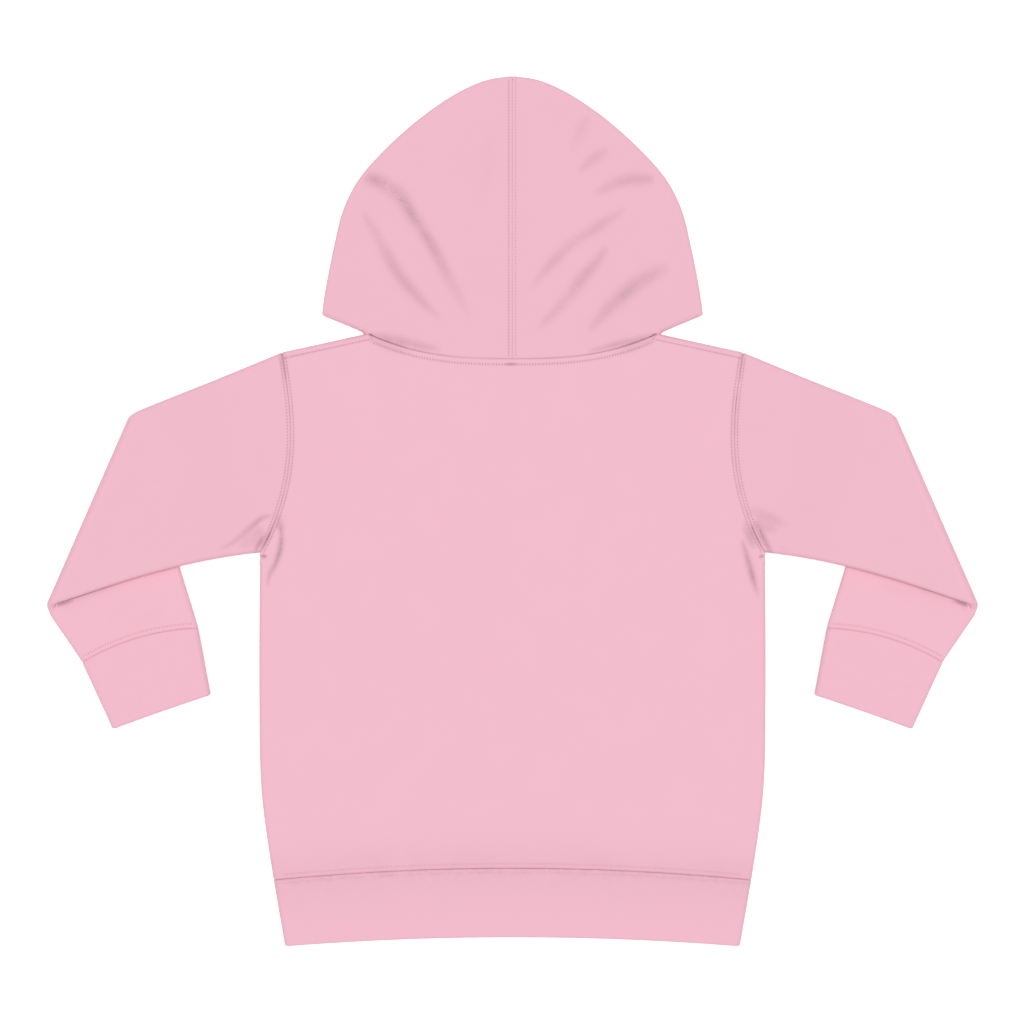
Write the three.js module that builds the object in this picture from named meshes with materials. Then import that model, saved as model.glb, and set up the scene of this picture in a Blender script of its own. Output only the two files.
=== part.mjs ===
// A toddler's pullover hoodie, size two years, laid flat with its back up.
// Each sleeve is folded under along a slanting line, so the forearm comes out below the upper arm.
// Millimetres. +X is the viewer's right, +Y runs to the top of the hood, +Z is up from the surface.
import * as THREE from 'three';

// Cloth: brushed fleece, and a rib band that is folded double
const FLEECE = 2.4;
const RIB = 3.0;
const LAYER_GAP = 0.8; // air between two layers that lie on each other
const SEAM_GAP = 0.3; // between two pieces that are sewn together

// Heights of the layers' middles over the surface
const LOW = FLEECE / 2;
const HIGH = FLEECE * 1.5 + LAYER_GAP;
const STACK = FLEECE * 2 + LAYER_GAP;
const RIB_STACK = RIB * 2 + LAYER_GAP;
const FOLD_RADIUS = (HIGH - LOW) / 2; // of the cloth's middle, where one layer turns into the other
const ROLL_RADIUS = FOLD_RADIUS - SEAM_GAP * 0.8; // the same at a side seam, for each panel's half

// Body, as it lies: half widths are measured from the centre line
const NECK_POINT = { x: 91.3, y: 112.0 };
const SHOULDER_TIP = { x: 145.2, y: 100.2 };
const ARMPIT = { x: 159.0, y: -26.0 };
const HEM_SEAM = { half: 150.4, sideY: -232.0, rise: 7.4 };
const HEM_EDGE = { half: 143.2, sideY: -273.7, rise: 5.7 };
const BACK_NECK = { y: 96.7, power: 2.75 };
const FRONT_NECK = { y: 54.0, power: 2.2 };

// Half width of the body up the side seam, and up the armhole
const SIDE_SEAM = [
  { y: HEM_SEAM.sideY, half: HEM_SEAM.half },
  { y: -218, half: 152.6 },
  { y: -200, half: 155.1 },
  { y: -180, half: 157.4 },
  { y: -160, half: 158.5 },
  { y: -120, half: ARMPIT.x },
  { y: ARMPIT.y, half: ARMPIT.x },
];
const ARMHOLE = [
  { y: ARMPIT.y, half: ARMPIT.x },
  { y: -14, half: 152.8 },
  { y: -2, half: 148.0 },
  { y: 9, half: 144.6 },
  { y: 23, half: 141.6 },
  { y: 39, half: 139.9 },
  { y: 55, half: 139.8 },
  { y: 70, half: 140.9 },
  { y: 86, half: 143.0 },
  { y: SHOULDER_TIP.y, half: SHOULDER_TIP.x },
];

// Hood: its side outline from the lower corner to the top, and the face opening on the underside
const HOOD_CORNER = { x: 120.3, y: 123.6 };
const HOOD_TOP = { x: 0, y: 273.7 };
const HOOD_SIDE = [
  HOOD_CORNER,
  { x: 117.2, y: 143.0 },
  { x: 112.1, y: 168.5 },
  { x: 106.6, y: 190.0 },
  { x: 97.0, y: 209.0 },
  { x: 79.4, y: 229.0 },
  { x: 56.4, y: 249.2 },
  { x: 33.7, y: 264.3 },
  { x: 16.0, y: 271.4 },
  HOOD_TOP,
];
const HOOD_LOFT = { height: 1.8, overFold: 28, overNeck: 9, overSeam: 7 };
const FACE_OPENING = { topY: 246, half: 46 };

// Sleeve: the slanting fold, the forearm beneath it and the cuff seam
const SLEEVE_FOLD = {
  top: { x: 232.7, y: 64.6 },
  bottom: { x: 286.2, y: -56.5 },
  topSlide: 11.3,
  bottomSlide: 9.65,
  topRound: 2.0,
};
const FOREARM_LIFT = STACK + LAYER_GAP; // how far the upper arm rides up over the forearm
const LIFT_REACH = { none: -34, full: -4 };
const UNDERARM_BOW = 4.4;
const CUFF_SEAM = { inner: { x: 197.8, y: -73.4 }, outer: { x: 270.6, y: -94.8 }, bow: 5.0 };
const CUFF_EDGE = { inner: { x: 190.3, y: -114.3 }, outer: { x: 251.4, y: -136.4 }, bow: 0.8 };

// Soft folds, each from one end to the other. bow bends its middle to the left of that way,
// width is the half breadth, and height is up for a ridge and down for a trough.
const HOOD_FOLDS = [
  { x1: -95, y1: 212, x2: -26, y2: 128, bow: 5.5, width: 6.5, height: -1.5 },
  { x1: -88, y1: 219, x2: -30, y2: 144, bow: 8, width: 8.0, height: 1.2 },
  { x1: -95, y1: 190, x2: -44, y2: 119, bow: 1.5, width: 6.5, height: -1.3 },
  { x1: -86, y1: 194, x2: -40, y2: 131, bow: 2, width: 7.0, height: 0.9 },
  { x1: 67, y1: 230, x2: 44, y2: 214, bow: 1.5, width: 5.5, height: -0.8 },
  { x1: 92, y1: 209, x2: 50, y2: 200, bow: 2.5, width: 5.5, height: -1.3 },
  { x1: 90, y1: 199, x2: 54, y2: 191, bow: 2.5, width: 7.0, height: 0.7 },
  { x1: 71, y1: 191, x2: 12, y2: 142, bow: 2.5, width: 6.0, height: -1.4 },
  { x1: 74, y1: 183, x2: 20, y2: 137, bow: 2.5, width: 6.5, height: 0.8 },
  { x1: 61, y1: 168, x2: 21, y2: 120, bow: -2.5, width: 6.0, height: -1.4 },
  { x1: 98, y1: 154, x2: 46, y2: 113, bow: 2.5, width: 6.5, height: -1.5 },
  { x1: 100, y1: 145, x2: 56, y2: 110, bow: 2.5, width: 7.0, height: 0.7 },
];
const ARMPIT_FOLDS = [
  { x1: -150, y1: -3, x2: -180, y2: -25, bow: 5, width: 3.6, height: 1.3 },
  { x1: -146, y1: -10, x2: -155, y2: -45, bow: 4, width: 3.4, height: 1.6 },
  { x1: 150, y1: -2, x2: 172, y2: -12, bow: -3, width: 5.0, height: 1.1 },
  { x1: 145, y1: -16, x2: 156, y2: -55, bow: -2, width: 3.4, height: 1.6 },
];

// How finely each piece is divided
const NECK_STEPS = 7; // from the centre line to the neck point
const THROAT_SECTION = NECK_STEPS; // the section that ends at the front of the throat
const HOOD_SECTIONS = 4 * NECK_STEPS;
const HOOD_UPPER_STEPS = 10;
const NEAR_FOLD = [0, 3, 7]; // millimetres
const NEAR_NECK = [7, 2.5, 0];
const LOWER_LAYER_SHARES = [0, 0.25, 0.5, 0.75, 0.98];
const FOLD_ANGLES = [-45, 0, 45];
const ROLL_SHARES = [0.35, 0.7, 0.9, 1];
const UPPER_ARM_SHARES = [0, 0.05, 0.1, 0.17, 0.26, 0.36, 0.46, 0.56, 0.66, 0.75, 0.84, 0.93, 1];
const TURN_ANGLES = [30, 60, 90, 120, 150, 180];
const FOREARM_STEPS = 6;
const TUBE_FLAT_POINTS = 10;
const BAND_FLAT_POINTS = 14;
const BAND_STEPS = 3;

const PINK = new THREE.Color(0.83, 0.48, 0.58);
const FLEECE_FINISH = { color: PINK, roughness: 0.95, metalness: 0 };
const RIB_FINISH = { color: PINK.clone().multiplyScalar(0.97), roughness: 0.9, metalness: 0 };

const { lerp, smoothstep, degToRad } = THREE.MathUtils;

// A value between the rows of a table, eased by a cubic whose slopes are the neighbours' mean slope
function fromTable(rows, y) {
  let k = 0;
  while (k < rows.length - 2 && y > rows[k + 1].y) k += 1;
  const slope = (i) => (rows[i + 1].half - rows[i].half) / (rows[i + 1].y - rows[i].y);
  const here = slope(k);
  const before = k > 0 ? (slope(k - 1) + here) / 2 : here;
  const after = k < rows.length - 2 ? (slope(k + 1) + here) / 2 : here;
  const span = rows[k + 1].y - rows[k].y;
  const t = (y - rows[k].y) / span;
  const t2 = t * t;
  const t3 = t2 * t;
  return (
    rows[k].half * (2 * t3 - 3 * t2 + 1) + before * span * (t3 - 2 * t2 + t) +
    rows[k + 1].half * (3 * t2 - 2 * t3) + after * span * (t3 - t2)
  );
}

// Height that a list of soft folds adds at a place
function foldHeight(folds, x, y) {
  let height = 0;
  for (const fold of folds) {
    const dx = fold.x2 - fold.x1;
    const dy = fold.y2 - fold.y1;
    const length = Math.hypot(dx, dy);
    const along = ((x - fold.x1) * dx + (y - fold.y1) * dy) / length ** 2;
    if (along <= 0 || along >= 1) continue;
    const arch = 4 * along * (1 - along);
    const across = ((y - fold.y1) * dx - (x - fold.x1) * dy) / length - fold.bow * arch;
    height += fold.height * Math.sqrt(arch) * Math.exp(-((across / fold.width) ** 2));
  }
  return height;
}

// A closed solid from its corners and triangles, turned so that its faces point out
function closedSolid(corners, triangles) {
  const geometry = new THREE.BufferGeometry();
  let volume = 0;
  for (const [a, b, c] of triangles) {
    volume += corners[a].dot(corners[b].clone().cross(corners[c]));
  }
  const index = triangles.flatMap(([a, b, c]) => (volume > 0 ? [a, b, c] : [a, c, b]));
  geometry.setIndex(index);
  geometry.setAttribute(
    'position',
    new THREE.Float32BufferAttribute(corners.flatMap((p) => [p.x, p.y, p.z]), 3),
  );
  geometry.computeVertexNormals();
  return geometry;
}

// A wall of cloth of one thickness about a grid of points in its middle.
// Each point moves half the thickness both ways along the grid's own normal.
// A round wall closes on itself along its rows, as a sleeve does, and is open at both ends.
// One with a centre seam has its last row cut square to the centre line.
function clothWall(grid, thickness, { round = false, centreSeam = false } = {}) {
  const rows = grid.length;
  const columns = grid[0].length;
  const step = (j) => (round ? (j + columns) % columns : Math.min(Math.max(j, 0), columns - 1));
  const at = (i, j) => grid[Math.min(Math.max(i, 0), rows - 1)][step(j)];
  const corners = [];
  for (let i = 0; i < rows; i += 1) {
    for (let j = 0; j < columns; j += 1) {
      const alongRow = at(i, j + 1).clone().sub(at(i, j - 1));
      const alongColumn = at(i + 1, j).clone().sub(at(i - 1, j));
      const normal = alongRow.cross(alongColumn);
      if (centreSeam && i === rows - 1) normal.x = 0;
      normal.normalize();
      corners.push(grid[i][j].clone().addScaledVector(normal, thickness / 2));
      corners.push(grid[i][j].clone().addScaledVector(normal, -thickness / 2));
    }
  }
  const corner = (i, j, side) => 2 * (i * columns + step(j)) + side;
  const triangles = [];
  const face = (a, b, c, d) => triangles.push([a, b, c], [a, c, d]);
  const lastColumn = round ? columns : columns - 1;
  for (let i = 0; i < rows - 1; i += 1) {
    for (let j = 0; j < lastColumn; j += 1) {
      face(corner(i, j, 0), corner(i, j + 1, 0), corner(i + 1, j + 1, 0), corner(i + 1, j, 0));
      face(corner(i, j, 1), corner(i + 1, j, 1), corner(i + 1, j + 1, 1), corner(i, j + 1, 1));
    }
  }
  for (let j = 0; j < lastColumn; j += 1) {
    face(corner(0, j, 0), corner(0, j, 1), corner(0, j + 1, 1), corner(0, j + 1, 0));
    const end = rows - 1;
    face(corner(end, j, 1), corner(end, j, 0), corner(end, j + 1, 0), corner(end, j + 1, 1));
  }
  for (let i = 0; i < rows - 1 && !round; i += 1) {
    face(corner(i, 0, 1), corner(i, 0, 0), corner(i + 1, 0, 0), corner(i + 1, 0, 1));
    const end = columns - 1;
    face(corner(i, end, 0), corner(i, end, 1), corner(i + 1, end, 1), corner(i + 1, end, 0));
  }
  return closedSolid(corners, triangles);
}

function piece(name, geometry, finish) {
  const mesh = new THREE.Mesh(geometry, new THREE.MeshStandardMaterial(finish));
  mesh.name = name;
  return mesh;
}

// The neckline's height at a distance from the centre line, for the back or the front.
// It is straight from step to step, and lies aside of the seam by a distance square to it.
function necklineY(neck, x, aside) {
  const steps = Math.min(Math.abs(x) / NECK_POINT.x, 1) * NECK_STEPS;
  const first = Math.min(Math.floor(steps + 1e-6), NECK_STEPS - 1);
  const at = (step) => lerp(neck.y, NECK_POINT.y, (step / NECK_STEPS) ** neck.power);
  const slope = (at(first + 1) - at(first)) / (NECK_POINT.x / NECK_STEPS);
  return lerp(at(first), at(first + 1), steps - first) + aside * Math.hypot(1, slope);
}

function shoulderY(x) {
  const share = (Math.abs(x) - NECK_POINT.x) / (SHOULDER_TIP.x - NECK_POINT.x);
  return lerp(NECK_POINT.y, SHOULDER_TIP.y, share);
}

function bodyHalfWidth(y) {
  return y < ARMPIT.y ? fromTable(SIDE_SEAM, y) : fromTable(ARMHOLE, y);
}

// Where a panel's rim lies, by the share of the rim's width gone and by how fully the rim is
// rolled: not at all where it meets a piece beside it, and fully where it meets the other panel.
function rolledRim(share, rolled) {
  const turn = degToRad(90) * share;
  return {
    reach: lerp((STACK / 2 - SEAM_GAP / 2) * share, ROLL_RADIUS * Math.sin(turn), rolled),
    turnIn: rolled * ROLL_RADIUS * (1 - Math.cos(turn)),
  };
}

// Even stations from one number to another, without the first
function stations(from, to, count) {
  return Array.from({ length: count }, (_, k) => lerp(from, to, (k + 1) / count));
}

// One panel of the body. neck is its neckline, level the height of its middle,
// inwards is -1 for the panel on top and 1 for the one beneath, and steps says how fine it is.
function bodyPanel(neck, level, inwards, steps, folds) {
  const topHalf = bodyHalfWidth(SHOULDER_TIP.y - STACK / 2) - STACK / 2;
  const neckShare = NECK_POINT.x / topHalf;
  const across = [
    -1,
    ...stations(-1, -neckShare, steps.shoulder),
    ...stations(-neckShare, neckShare, 2 * NECK_STEPS),
    ...stations(neckShare, 1, steps.shoulder),
  ];
  const armpitShare = (ARMPIT.y - HEM_SEAM.sideY) / (SHOULDER_TIP.y - HEM_SEAM.sideY);
  const up = [0, ...stations(0, armpitShare, steps.side), ...stations(armpitShare, 1, steps.armhole)];
  const columns = [
    ...ROLL_SHARES.toReversed().map((rim) => ({ share: -1, rim })),
    ...across.map((share) => ({ share, rim: 0 })),
    ...ROLL_SHARES.map((rim) => ({ share: 1, rim })),
  ];
  const rows = [
    ...up.map((share) => ({ share, rim: 0 })),
    ...ROLL_SHARES.map((rim) => ({ share: 1, rim })),
  ];
  const point = (row, column) => {
    const sideY = lerp(HEM_SEAM.sideY + SEAM_GAP, SHOULDER_TIP.y - STACK / 2, row.share);
    const rolledSide = 1 - smoothstep(sideY, ARMPIT.y - 9, ARMPIT.y - 1);
    const sideRim = rolledRim(column.rim, rolledSide);
    const flat = column.share * (bodyHalfWidth(sideY) - STACK / 2);
    const x = flat + Math.sign(column.share) * sideRim.reach;
    const onShoulder = Math.abs(column.share) >= neckShare - 1e-6 ? 1 : 0;
    const topX = column.share * topHalf;
    const topY = onShoulder ? shoulderY(x) : necklineY(neck, topX, 0);
    const topRim = rolledRim(row.rim, onShoulder);
    const hemRise = HEM_SEAM.rise * (1 - column.share ** 2) * (1 - row.share) ** 3;
    const topRise = (topY - SHOULDER_TIP.y) * row.share ** 6;
    const y = sideY + hemRise + topRise + topRim.reach;
    const z = level + inwards * (sideRim.turnIn + topRim.turnIn) + foldHeight(folds, x, y);
    return new THREE.Vector3(x, y, z);
  };
  return clothWall(rows.map((row) => columns.map((column) => point(row, column))), FLEECE);
}

// Half of the hood. It runs from the face opening and the front neckline, on the surface,
// out to the side fold, over it, and back along the top to the back neckline.
function hoodHalf(side) {
  const outline = new THREE.CatmullRomCurve3(
    HOOD_SIDE.map(({ x, y }) => new THREE.Vector3(x, y, 0)),
    false,
    'centripetal',
  );
  const beside = SEAM_GAP / 2;
  const place = (x, y) => new THREE.Vector3(Math.max(x, beside), y, 0);
  const toNeck = new THREE.Vector3(
    NECK_POINT.x - HOOD_CORNER.x,
    NECK_POINT.y - HOOD_CORNER.y,
    0,
  ).normalize();
  const grid = [];
  for (let i = 0; i <= HOOD_SECTIONS; i += 1) {
    const share = i / HOOD_SECTIONS;
    const edge = outline.getPointAt(share);
    const tangent = outline.getTangentAt(share);
    const inward = new THREE.Vector3(-tangent.y, tangent.x, 0);
    inward.lerp(toNeck, 1 - smoothstep(share, 0, 0.12)).normalize();
    if (i === HOOD_SECTIONS) inward.set(0, -1, 0);
    const fold = place(edge.x, edge.y).addScaledVector(inward, STACK / 2);
    fold.x = Math.max(fold.x, beside);

    const neckX = (NECK_POINT.x - SEAM_GAP) * (1 - share);
    const upperEnd = place(neckX, necklineY(BACK_NECK, neckX, SEAM_GAP / 2));
    const row = lowerLayer(place, i, fold);
    for (const angle of FOLD_ANGLES) {
      const turn = degToRad(angle);
      const point = fold.clone().addScaledVector(inward, -FOLD_RADIUS * Math.cos(turn));
      row.push(point.setZ(STACK / 2 + FOLD_RADIUS * Math.sin(turn)));
    }
    const length = fold.distanceTo(upperEnd);
    const shrink = Math.min(1, length / 60);
    const first = NEAR_FOLD.at(-1) * shrink;
    const last = length - NEAR_NECK[0] * shrink;
    const distances = [
      ...NEAR_FOLD.map((d) => d * shrink),
      ...stations(first, last, HOOD_UPPER_STEPS),
      ...NEAR_NECK.slice(1).map((d) => length - d * shrink),
    ];
    for (const distance of distances) {
      const point = fold.clone().lerp(upperEnd, distance / length);
      const fromFold = smoothstep(distance, 0, HOOD_LOFT.overFold);
      const fromNeck = smoothstep(length - distance, 2 * shrink, HOOD_LOFT.overNeck);
      const fromCorner = smoothstep(share, 0, 0.12);
      const besideSeam = 1 - 0.45 * Math.exp(-((point.x / HOOD_LOFT.overSeam) ** 2));
      const ease = fromFold * fromNeck * fromCorner;
      const folds = foldHeight(HOOD_FOLDS, side * point.x, point.y) * ease;
      row.push(point.setZ(HIGH + HOOD_LOFT.height * ease * besideSeam + folds));
    }
    grid.push(row.map((point) => point.setX(side * point.x)));
  }
  return clothWall(grid, FLEECE, { centreSeam: true });
}

// The hood's lower layer in one section, from the front neckline or the face opening out to the
// fold. Near the neck point it bends, so that it keeps clear of the shoulder.
function lowerLayer(place, section, fold) {
  let end;
  let bend = 0;
  if (section <= THROAT_SECTION) {
    const gone = section / THROAT_SECTION;
    const frontX = (NECK_POINT.x - SEAM_GAP) * (1 - gone);
    const aside = SEAM_GAP * (0.5 + 5 * (1 - gone) ** 8); // wider at the neck point's corner
    end = place(frontX, necklineY(FRONT_NECK, frontX, aside));
    bend = (1 - gone) * Math.min(1, 6 * gone);
  } else {
    const rise = (section - THROAT_SECTION) / (HOOD_SECTIONS - THROAT_SECTION);
    const openingX = FACE_OPENING.half * Math.sin(Math.PI * rise);
    end = place(openingX, lerp(FRONT_NECK.y, FACE_OPENING.topY, rise));
  }
  const bendPoint = end.clone().lerp(fold, 0.5);
  bendPoint.lerp(new THREE.Vector3(end.x + 2, NECK_POINT.y + 7, 0), bend);
  const curve = new THREE.QuadraticBezierCurve3(end, bendPoint, fold);
  return LOWER_LAYER_SHARES.map((share) => curve.getPoint(share).setZ(LOW));
}

// The places round a flattened tube, for a section that crosses it from one edge to the other.
// Each has its share of the way across, how far it stands past the flat part's end, in radii,
// and its height from the tube's middle, in radii.
function tubePlaces(flatPoints) {
  const top = Array.from({ length: flatPoints }, (_, k) => k / (flatPoints - 1));
  const round = FOLD_ANGLES.map(degToRad);
  return [
    ...top.map((share) => ({ share, past: 0, up: 1 })),
    ...round.toReversed().map((a) => ({ share: 1, past: Math.cos(a), up: Math.sin(a) })),
    ...top.toReversed().map((share) => ({ share, past: 0, up: -1 })),
    ...round.map((a) => ({ share: 0, past: -Math.cos(a), up: Math.sin(a) })),
  ];
}

// One ring of a flattened tube. curve gives a plan place by the share across, middle its height
// by plan place, normal the way that the tube's top layer faces, and wall the cloth's thickness.
function tubeRing(places, { curve, middle, normal, wall, folds = [] }) {
  const radius = (wall + LAYER_GAP) / 2;
  const start = curve(0);
  const end = curve(1);
  const width = start.distanceTo(end);
  const inset = (radius + wall / 2) / width;
  const startWay = curve(inset).sub(start).normalize();
  const endWay = end.clone().sub(curve(1 - inset)).normalize();
  return places.map(({ share, past, up }) => {
    const point = curve(lerp(inset, 1 - inset, share));
    const fold = up > 0 ? foldHeight(folds, point.x, point.y) * up : 0;
    const height = middle(point.x, point.y) + fold;
    point.addScaledVector(past < 0 ? startWay : endWay, past * radius);
    return point.addScaledVector(normal, up * radius).setZ(height + up * radius * normal.z);
  });
}

// A curve across from one plan point to another, bowed to one side in the middle
function bowed(side, from, to, bow) {
  const start = new THREE.Vector3(side * from.x, from.y, 0);
  const end = new THREE.Vector3(side * to.x, to.y, 0);
  const way = end.clone().sub(start).normalize();
  const aside = new THREE.Vector3(-way.y, way.x, 0).multiplyScalar(side);
  return (share) => start.clone().lerp(end, share)
    .addScaledVector(aside, bow * 4 * share * (1 - share));
}

// How high the upper arm rides over the forearm at a place, from 0 to 1.
// It climbs on the way to the forearm's inner edge, which runs from the fold's top to the cuff.
function forearmLift(x, y) {
  const start = SLEEVE_FOLD.top;
  const way = { x: CUFF_SEAM.inner.x - start.x, y: CUFF_SEAM.inner.y - start.y };
  const cross = way.x * (y - start.y) - way.y * (Math.abs(x) - start.x);
  return smoothstep(cross / Math.hypot(way.x, way.y), LIFT_REACH.none, LIFT_REACH.full);
}

function sleeve(side) {
  const places = tubePlaces(TUBE_FLAT_POINTS);
  const up = new THREE.Vector3(0, 0, 1);
  const armhole = (share) => {
    const y = lerp(SHOULDER_TIP.y, ARMPIT.y, share);
    return new THREE.Vector3(side * (bodyHalfWidth(y) + 1.4 * SEAM_GAP), y, 0);
  };
  const foldAt = (topSlide, bottomSlide, outward) => {
    const { top, bottom } = SLEEVE_FOLD;
    const way = new THREE.Vector3(bottom.x - top.x, bottom.y - top.y, 0).normalize();
    const out = new THREE.Vector3(-way.y, way.x, 0).multiplyScalar(outward);
    const shift = (from, slide) => new THREE.Vector3(from.x, from.y, 0)
      .addScaledVector(way, slide).add(out);
    return bowed(side, shift(top, topSlide), shift(bottom, bottomSlide), 0);
  };
  const foldCurve = foldAt(0, 0, 0);
  const rings = UPPER_ARM_SHARES.map((gone) => {
    const curve = (share) => armhole(share).lerp(foldCurve(share), gone)
      .add(new THREE.Vector3(0, UNDERARM_BOW * 4 * gone * (1 - gone) * share ** 2, 0));
    const middle = (x, y) => STACK / 2 + FOREARM_LIFT * forearmLift(x, y);
    return tubeRing(places, { curve, middle, normal: up, wall: FLEECE, folds: ARMPIT_FOLDS });
  });

  const turnRadius = FOREARM_LIFT / 2;
  const { top, bottom, topSlide, bottomSlide, topRound } = SLEEVE_FOLD;
  const way = new THREE.Vector3(side * (bottom.x - top.x), bottom.y - top.y, 0).normalize();
  const outward = new THREE.Vector3(-way.y, way.x, 0).multiplyScalar(side);
  for (const angle of TURN_ANGLES) {
    const turn = degToRad(angle);
    const gone = angle / 180;
    const corner = topRound * Math.sin(turn) ** 2;
    const curve = foldAt(topSlide * gone + corner, bottomSlide * gone, turnRadius * Math.sin(turn));
    const height = STACK / 2 + turnRadius * (1 + Math.cos(turn));
    const normal = outward.clone().multiplyScalar(Math.sin(turn)).setZ(Math.cos(turn));
    rings.push(tubeRing(places, { curve, middle: () => height, normal, wall: FLEECE }));
  }

  const lastFold = foldAt(topSlide, bottomSlide, 0);
  const seam = bowed(side, CUFF_SEAM.inner, CUFF_SEAM.outer, CUFF_SEAM.bow);
  for (const gone of stations(0, 1, FOREARM_STEPS)) {
    const curve = (share) => lastFold(share).lerp(seam(share), gone);
    const middle = () => STACK / 2;
    const down = new THREE.Vector3(0, 0, -1);
    rings.push(tubeRing(places, { curve, middle, normal: down, wall: FLEECE }));
  }
  return clothWall(rings, FLEECE, { round: true });
}

// A band of folded rib between two curves, from its seam to its free edge
function ribBand(seam, edge, flatPoints) {
  const places = tubePlaces(flatPoints);
  const up = new THREE.Vector3(0, 0, 1);
  const apart = 2 * SEAM_GAP / seam(0.5).distanceTo(edge(0.5));
  const rings = [apart, ...stations(apart, 1, BAND_STEPS)].map((gone) => {
    const curve = (share) => seam(share).lerp(edge(share), gone);
    return tubeRing(places, { curve, middle: () => RIB_STACK / 2, normal: up, wall: RIB });
  });
  return clothWall(rings, RIB, { round: true });
}

function cuff(side) {
  return ribBand(
    bowed(side, CUFF_SEAM.inner, CUFF_SEAM.outer, CUFF_SEAM.bow),
    bowed(side, CUFF_EDGE.inner, CUFF_EDGE.outer, CUFF_EDGE.bow),
    TUBE_FLAT_POINTS,
  );
}

function waistband() {
  const across = ({ half, sideY, rise }) => bowed(
    1,
    { x: -half, y: sideY },
    { x: half, y: sideY },
    rise,
  );
  return ribBand(across(HEM_SEAM), across(HEM_EDGE), BAND_FLAT_POINTS);
}

const hoodie = new THREE.Group();
const backSteps = { shoulder: 4, side: 10, armhole: 8 };
const frontSteps = { shoulder: 2, side: 5, armhole: 7 };
hoodie.add(
  piece('body_front', bodyPanel(FRONT_NECK, LOW, 1, frontSteps, []), FLEECE_FINISH),
  piece('body_back', bodyPanel(BACK_NECK, HIGH, -1, backSteps, ARMPIT_FOLDS), FLEECE_FINISH),
  piece('hood_left', hoodHalf(-1), FLEECE_FINISH),
  piece('hood_right', hoodHalf(1), FLEECE_FINISH),
  piece('sleeve_left', sleeve(-1), FLEECE_FINISH),
  piece('sleeve_right', sleeve(1), FLEECE_FINISH),
  piece('cuff_left', cuff(-1), RIB_FINISH),
  piece('cuff_right', cuff(1), RIB_FINISH),
  piece('waistband', waistband(), RIB_FINISH),
);

export default hoodie;
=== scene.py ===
"""A toddler's pullover hoodie that lies flat with its back up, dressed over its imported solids.

Each panel is a wall of cloth about a surface of two parameters, worked out in millimetres in the
model's own frame: +X to the right as one looks down on the back, +Y to the top of the hood, +Z up.
"""

import logging
import math
from dataclasses import dataclass, field, replace
from enum import Enum
from typing import Callable

import bmesh
import bpy
import numpy as np
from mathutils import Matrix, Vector

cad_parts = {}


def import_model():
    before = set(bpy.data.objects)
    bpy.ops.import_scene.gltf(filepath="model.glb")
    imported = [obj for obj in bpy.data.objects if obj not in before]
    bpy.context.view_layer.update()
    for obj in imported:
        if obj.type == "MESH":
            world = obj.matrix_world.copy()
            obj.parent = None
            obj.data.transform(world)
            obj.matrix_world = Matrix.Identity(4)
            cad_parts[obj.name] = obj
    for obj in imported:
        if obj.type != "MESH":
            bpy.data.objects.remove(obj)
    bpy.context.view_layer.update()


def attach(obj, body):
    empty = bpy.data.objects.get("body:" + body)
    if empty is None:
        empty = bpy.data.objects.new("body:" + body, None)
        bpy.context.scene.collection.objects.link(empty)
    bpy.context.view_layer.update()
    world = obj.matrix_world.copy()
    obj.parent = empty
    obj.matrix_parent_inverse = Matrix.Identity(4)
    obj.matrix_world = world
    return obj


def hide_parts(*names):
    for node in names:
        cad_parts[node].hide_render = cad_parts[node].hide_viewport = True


Array = np.ndarray
Colour = tuple[float, float, float, float]
LOG = logging.getLogger("hoodie")
METRE = 0.001  # a millimetre, in metres


class Side(Enum):
    """The half of the garment, as one looks down on its back."""

    LEFT = -1
    RIGHT = 1


class Facing(Enum):
    """The way that a panel's outer face looks."""

    UP = 1
    DOWN = -1


@dataclass(frozen=True)
class Cloth:
    """How thick the cloth is and how its layers lie, in millimetres."""

    fleece: float = 2.4
    rib: float = 3.0
    air: float = 0.8

    @property
    def low(self) -> float:
        """Height of the middle of the fleece that lies on the surface."""
        return self.fleece / 2

    @property
    def high(self) -> float:
        """Height of the middle of the fleece that lies on another layer."""
        return 1.5 * self.fleece + self.air

    @property
    def stack(self) -> float:
        """Height of two layers of fleece."""
        return 2 * self.fleece + self.air

    @property
    def turn(self) -> float:
        """Radius of the fleece's middle where one layer turns into the other."""
        return (self.fleece + self.air) / 2


CLOTH = Cloth()

# Half widths and heights of the body from the centre line, in millimetres
NECK_POINT = (91.3, 112.0)
SHOULDER_TIP = (145.2, 100.2)
ARMPIT = (159.0, -26.0)
ELBOW = (286.2, -57.5)
UNDERARM_BOW = 4.25
HEM_SEAM = {"half": 150.4, "side_y": -232.0, "rise": 7.4}
HEM_EDGE = {"half": 143.2, "side_y": -273.7, "rise": 5.7}

# Height and half width up the side seam, then up the armhole
SIDE_SEAM = np.array([
    (-232.0, 150.4), (-218.0, 152.6), (-200.0, 155.3), (-180.0, 157.7),
    (-160.0, 158.9), (-120.0, 159.4), (-70.0, 159.4), (-26.0, 159.0),
])
ARMHOLE = np.array([
    (-26.0, 159.0), (-14.0, 152.8), (-2.0, 148.0), (9.0, 144.6), (23.0, 141.6),
    (39.0, 139.9), (55.0, 139.8), (70.0, 140.9), (86.0, 143.0), (100.2, 145.2),
])

# The hood's side outline, from its lower corner to its top
HOOD_SIDE = np.array([
    (120.3, 123.6), (117.2, 143.0), (112.1, 168.5), (106.6, 190.0), (97.0, 209.0),
    (79.4, 229.0), (56.4, 249.2), (33.7, 264.3), (16.0, 271.9), (0.0, 274.4),
])

CUFF_SEAM = {"inner": (197.8, -73.4), "outer": (271.1, -95.1), "bow": 5.0}
CUFF_EDGE = {"inner": (190.1, -115.5), "outer": (251.7, -137.1), "bow": 0.4}


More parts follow.
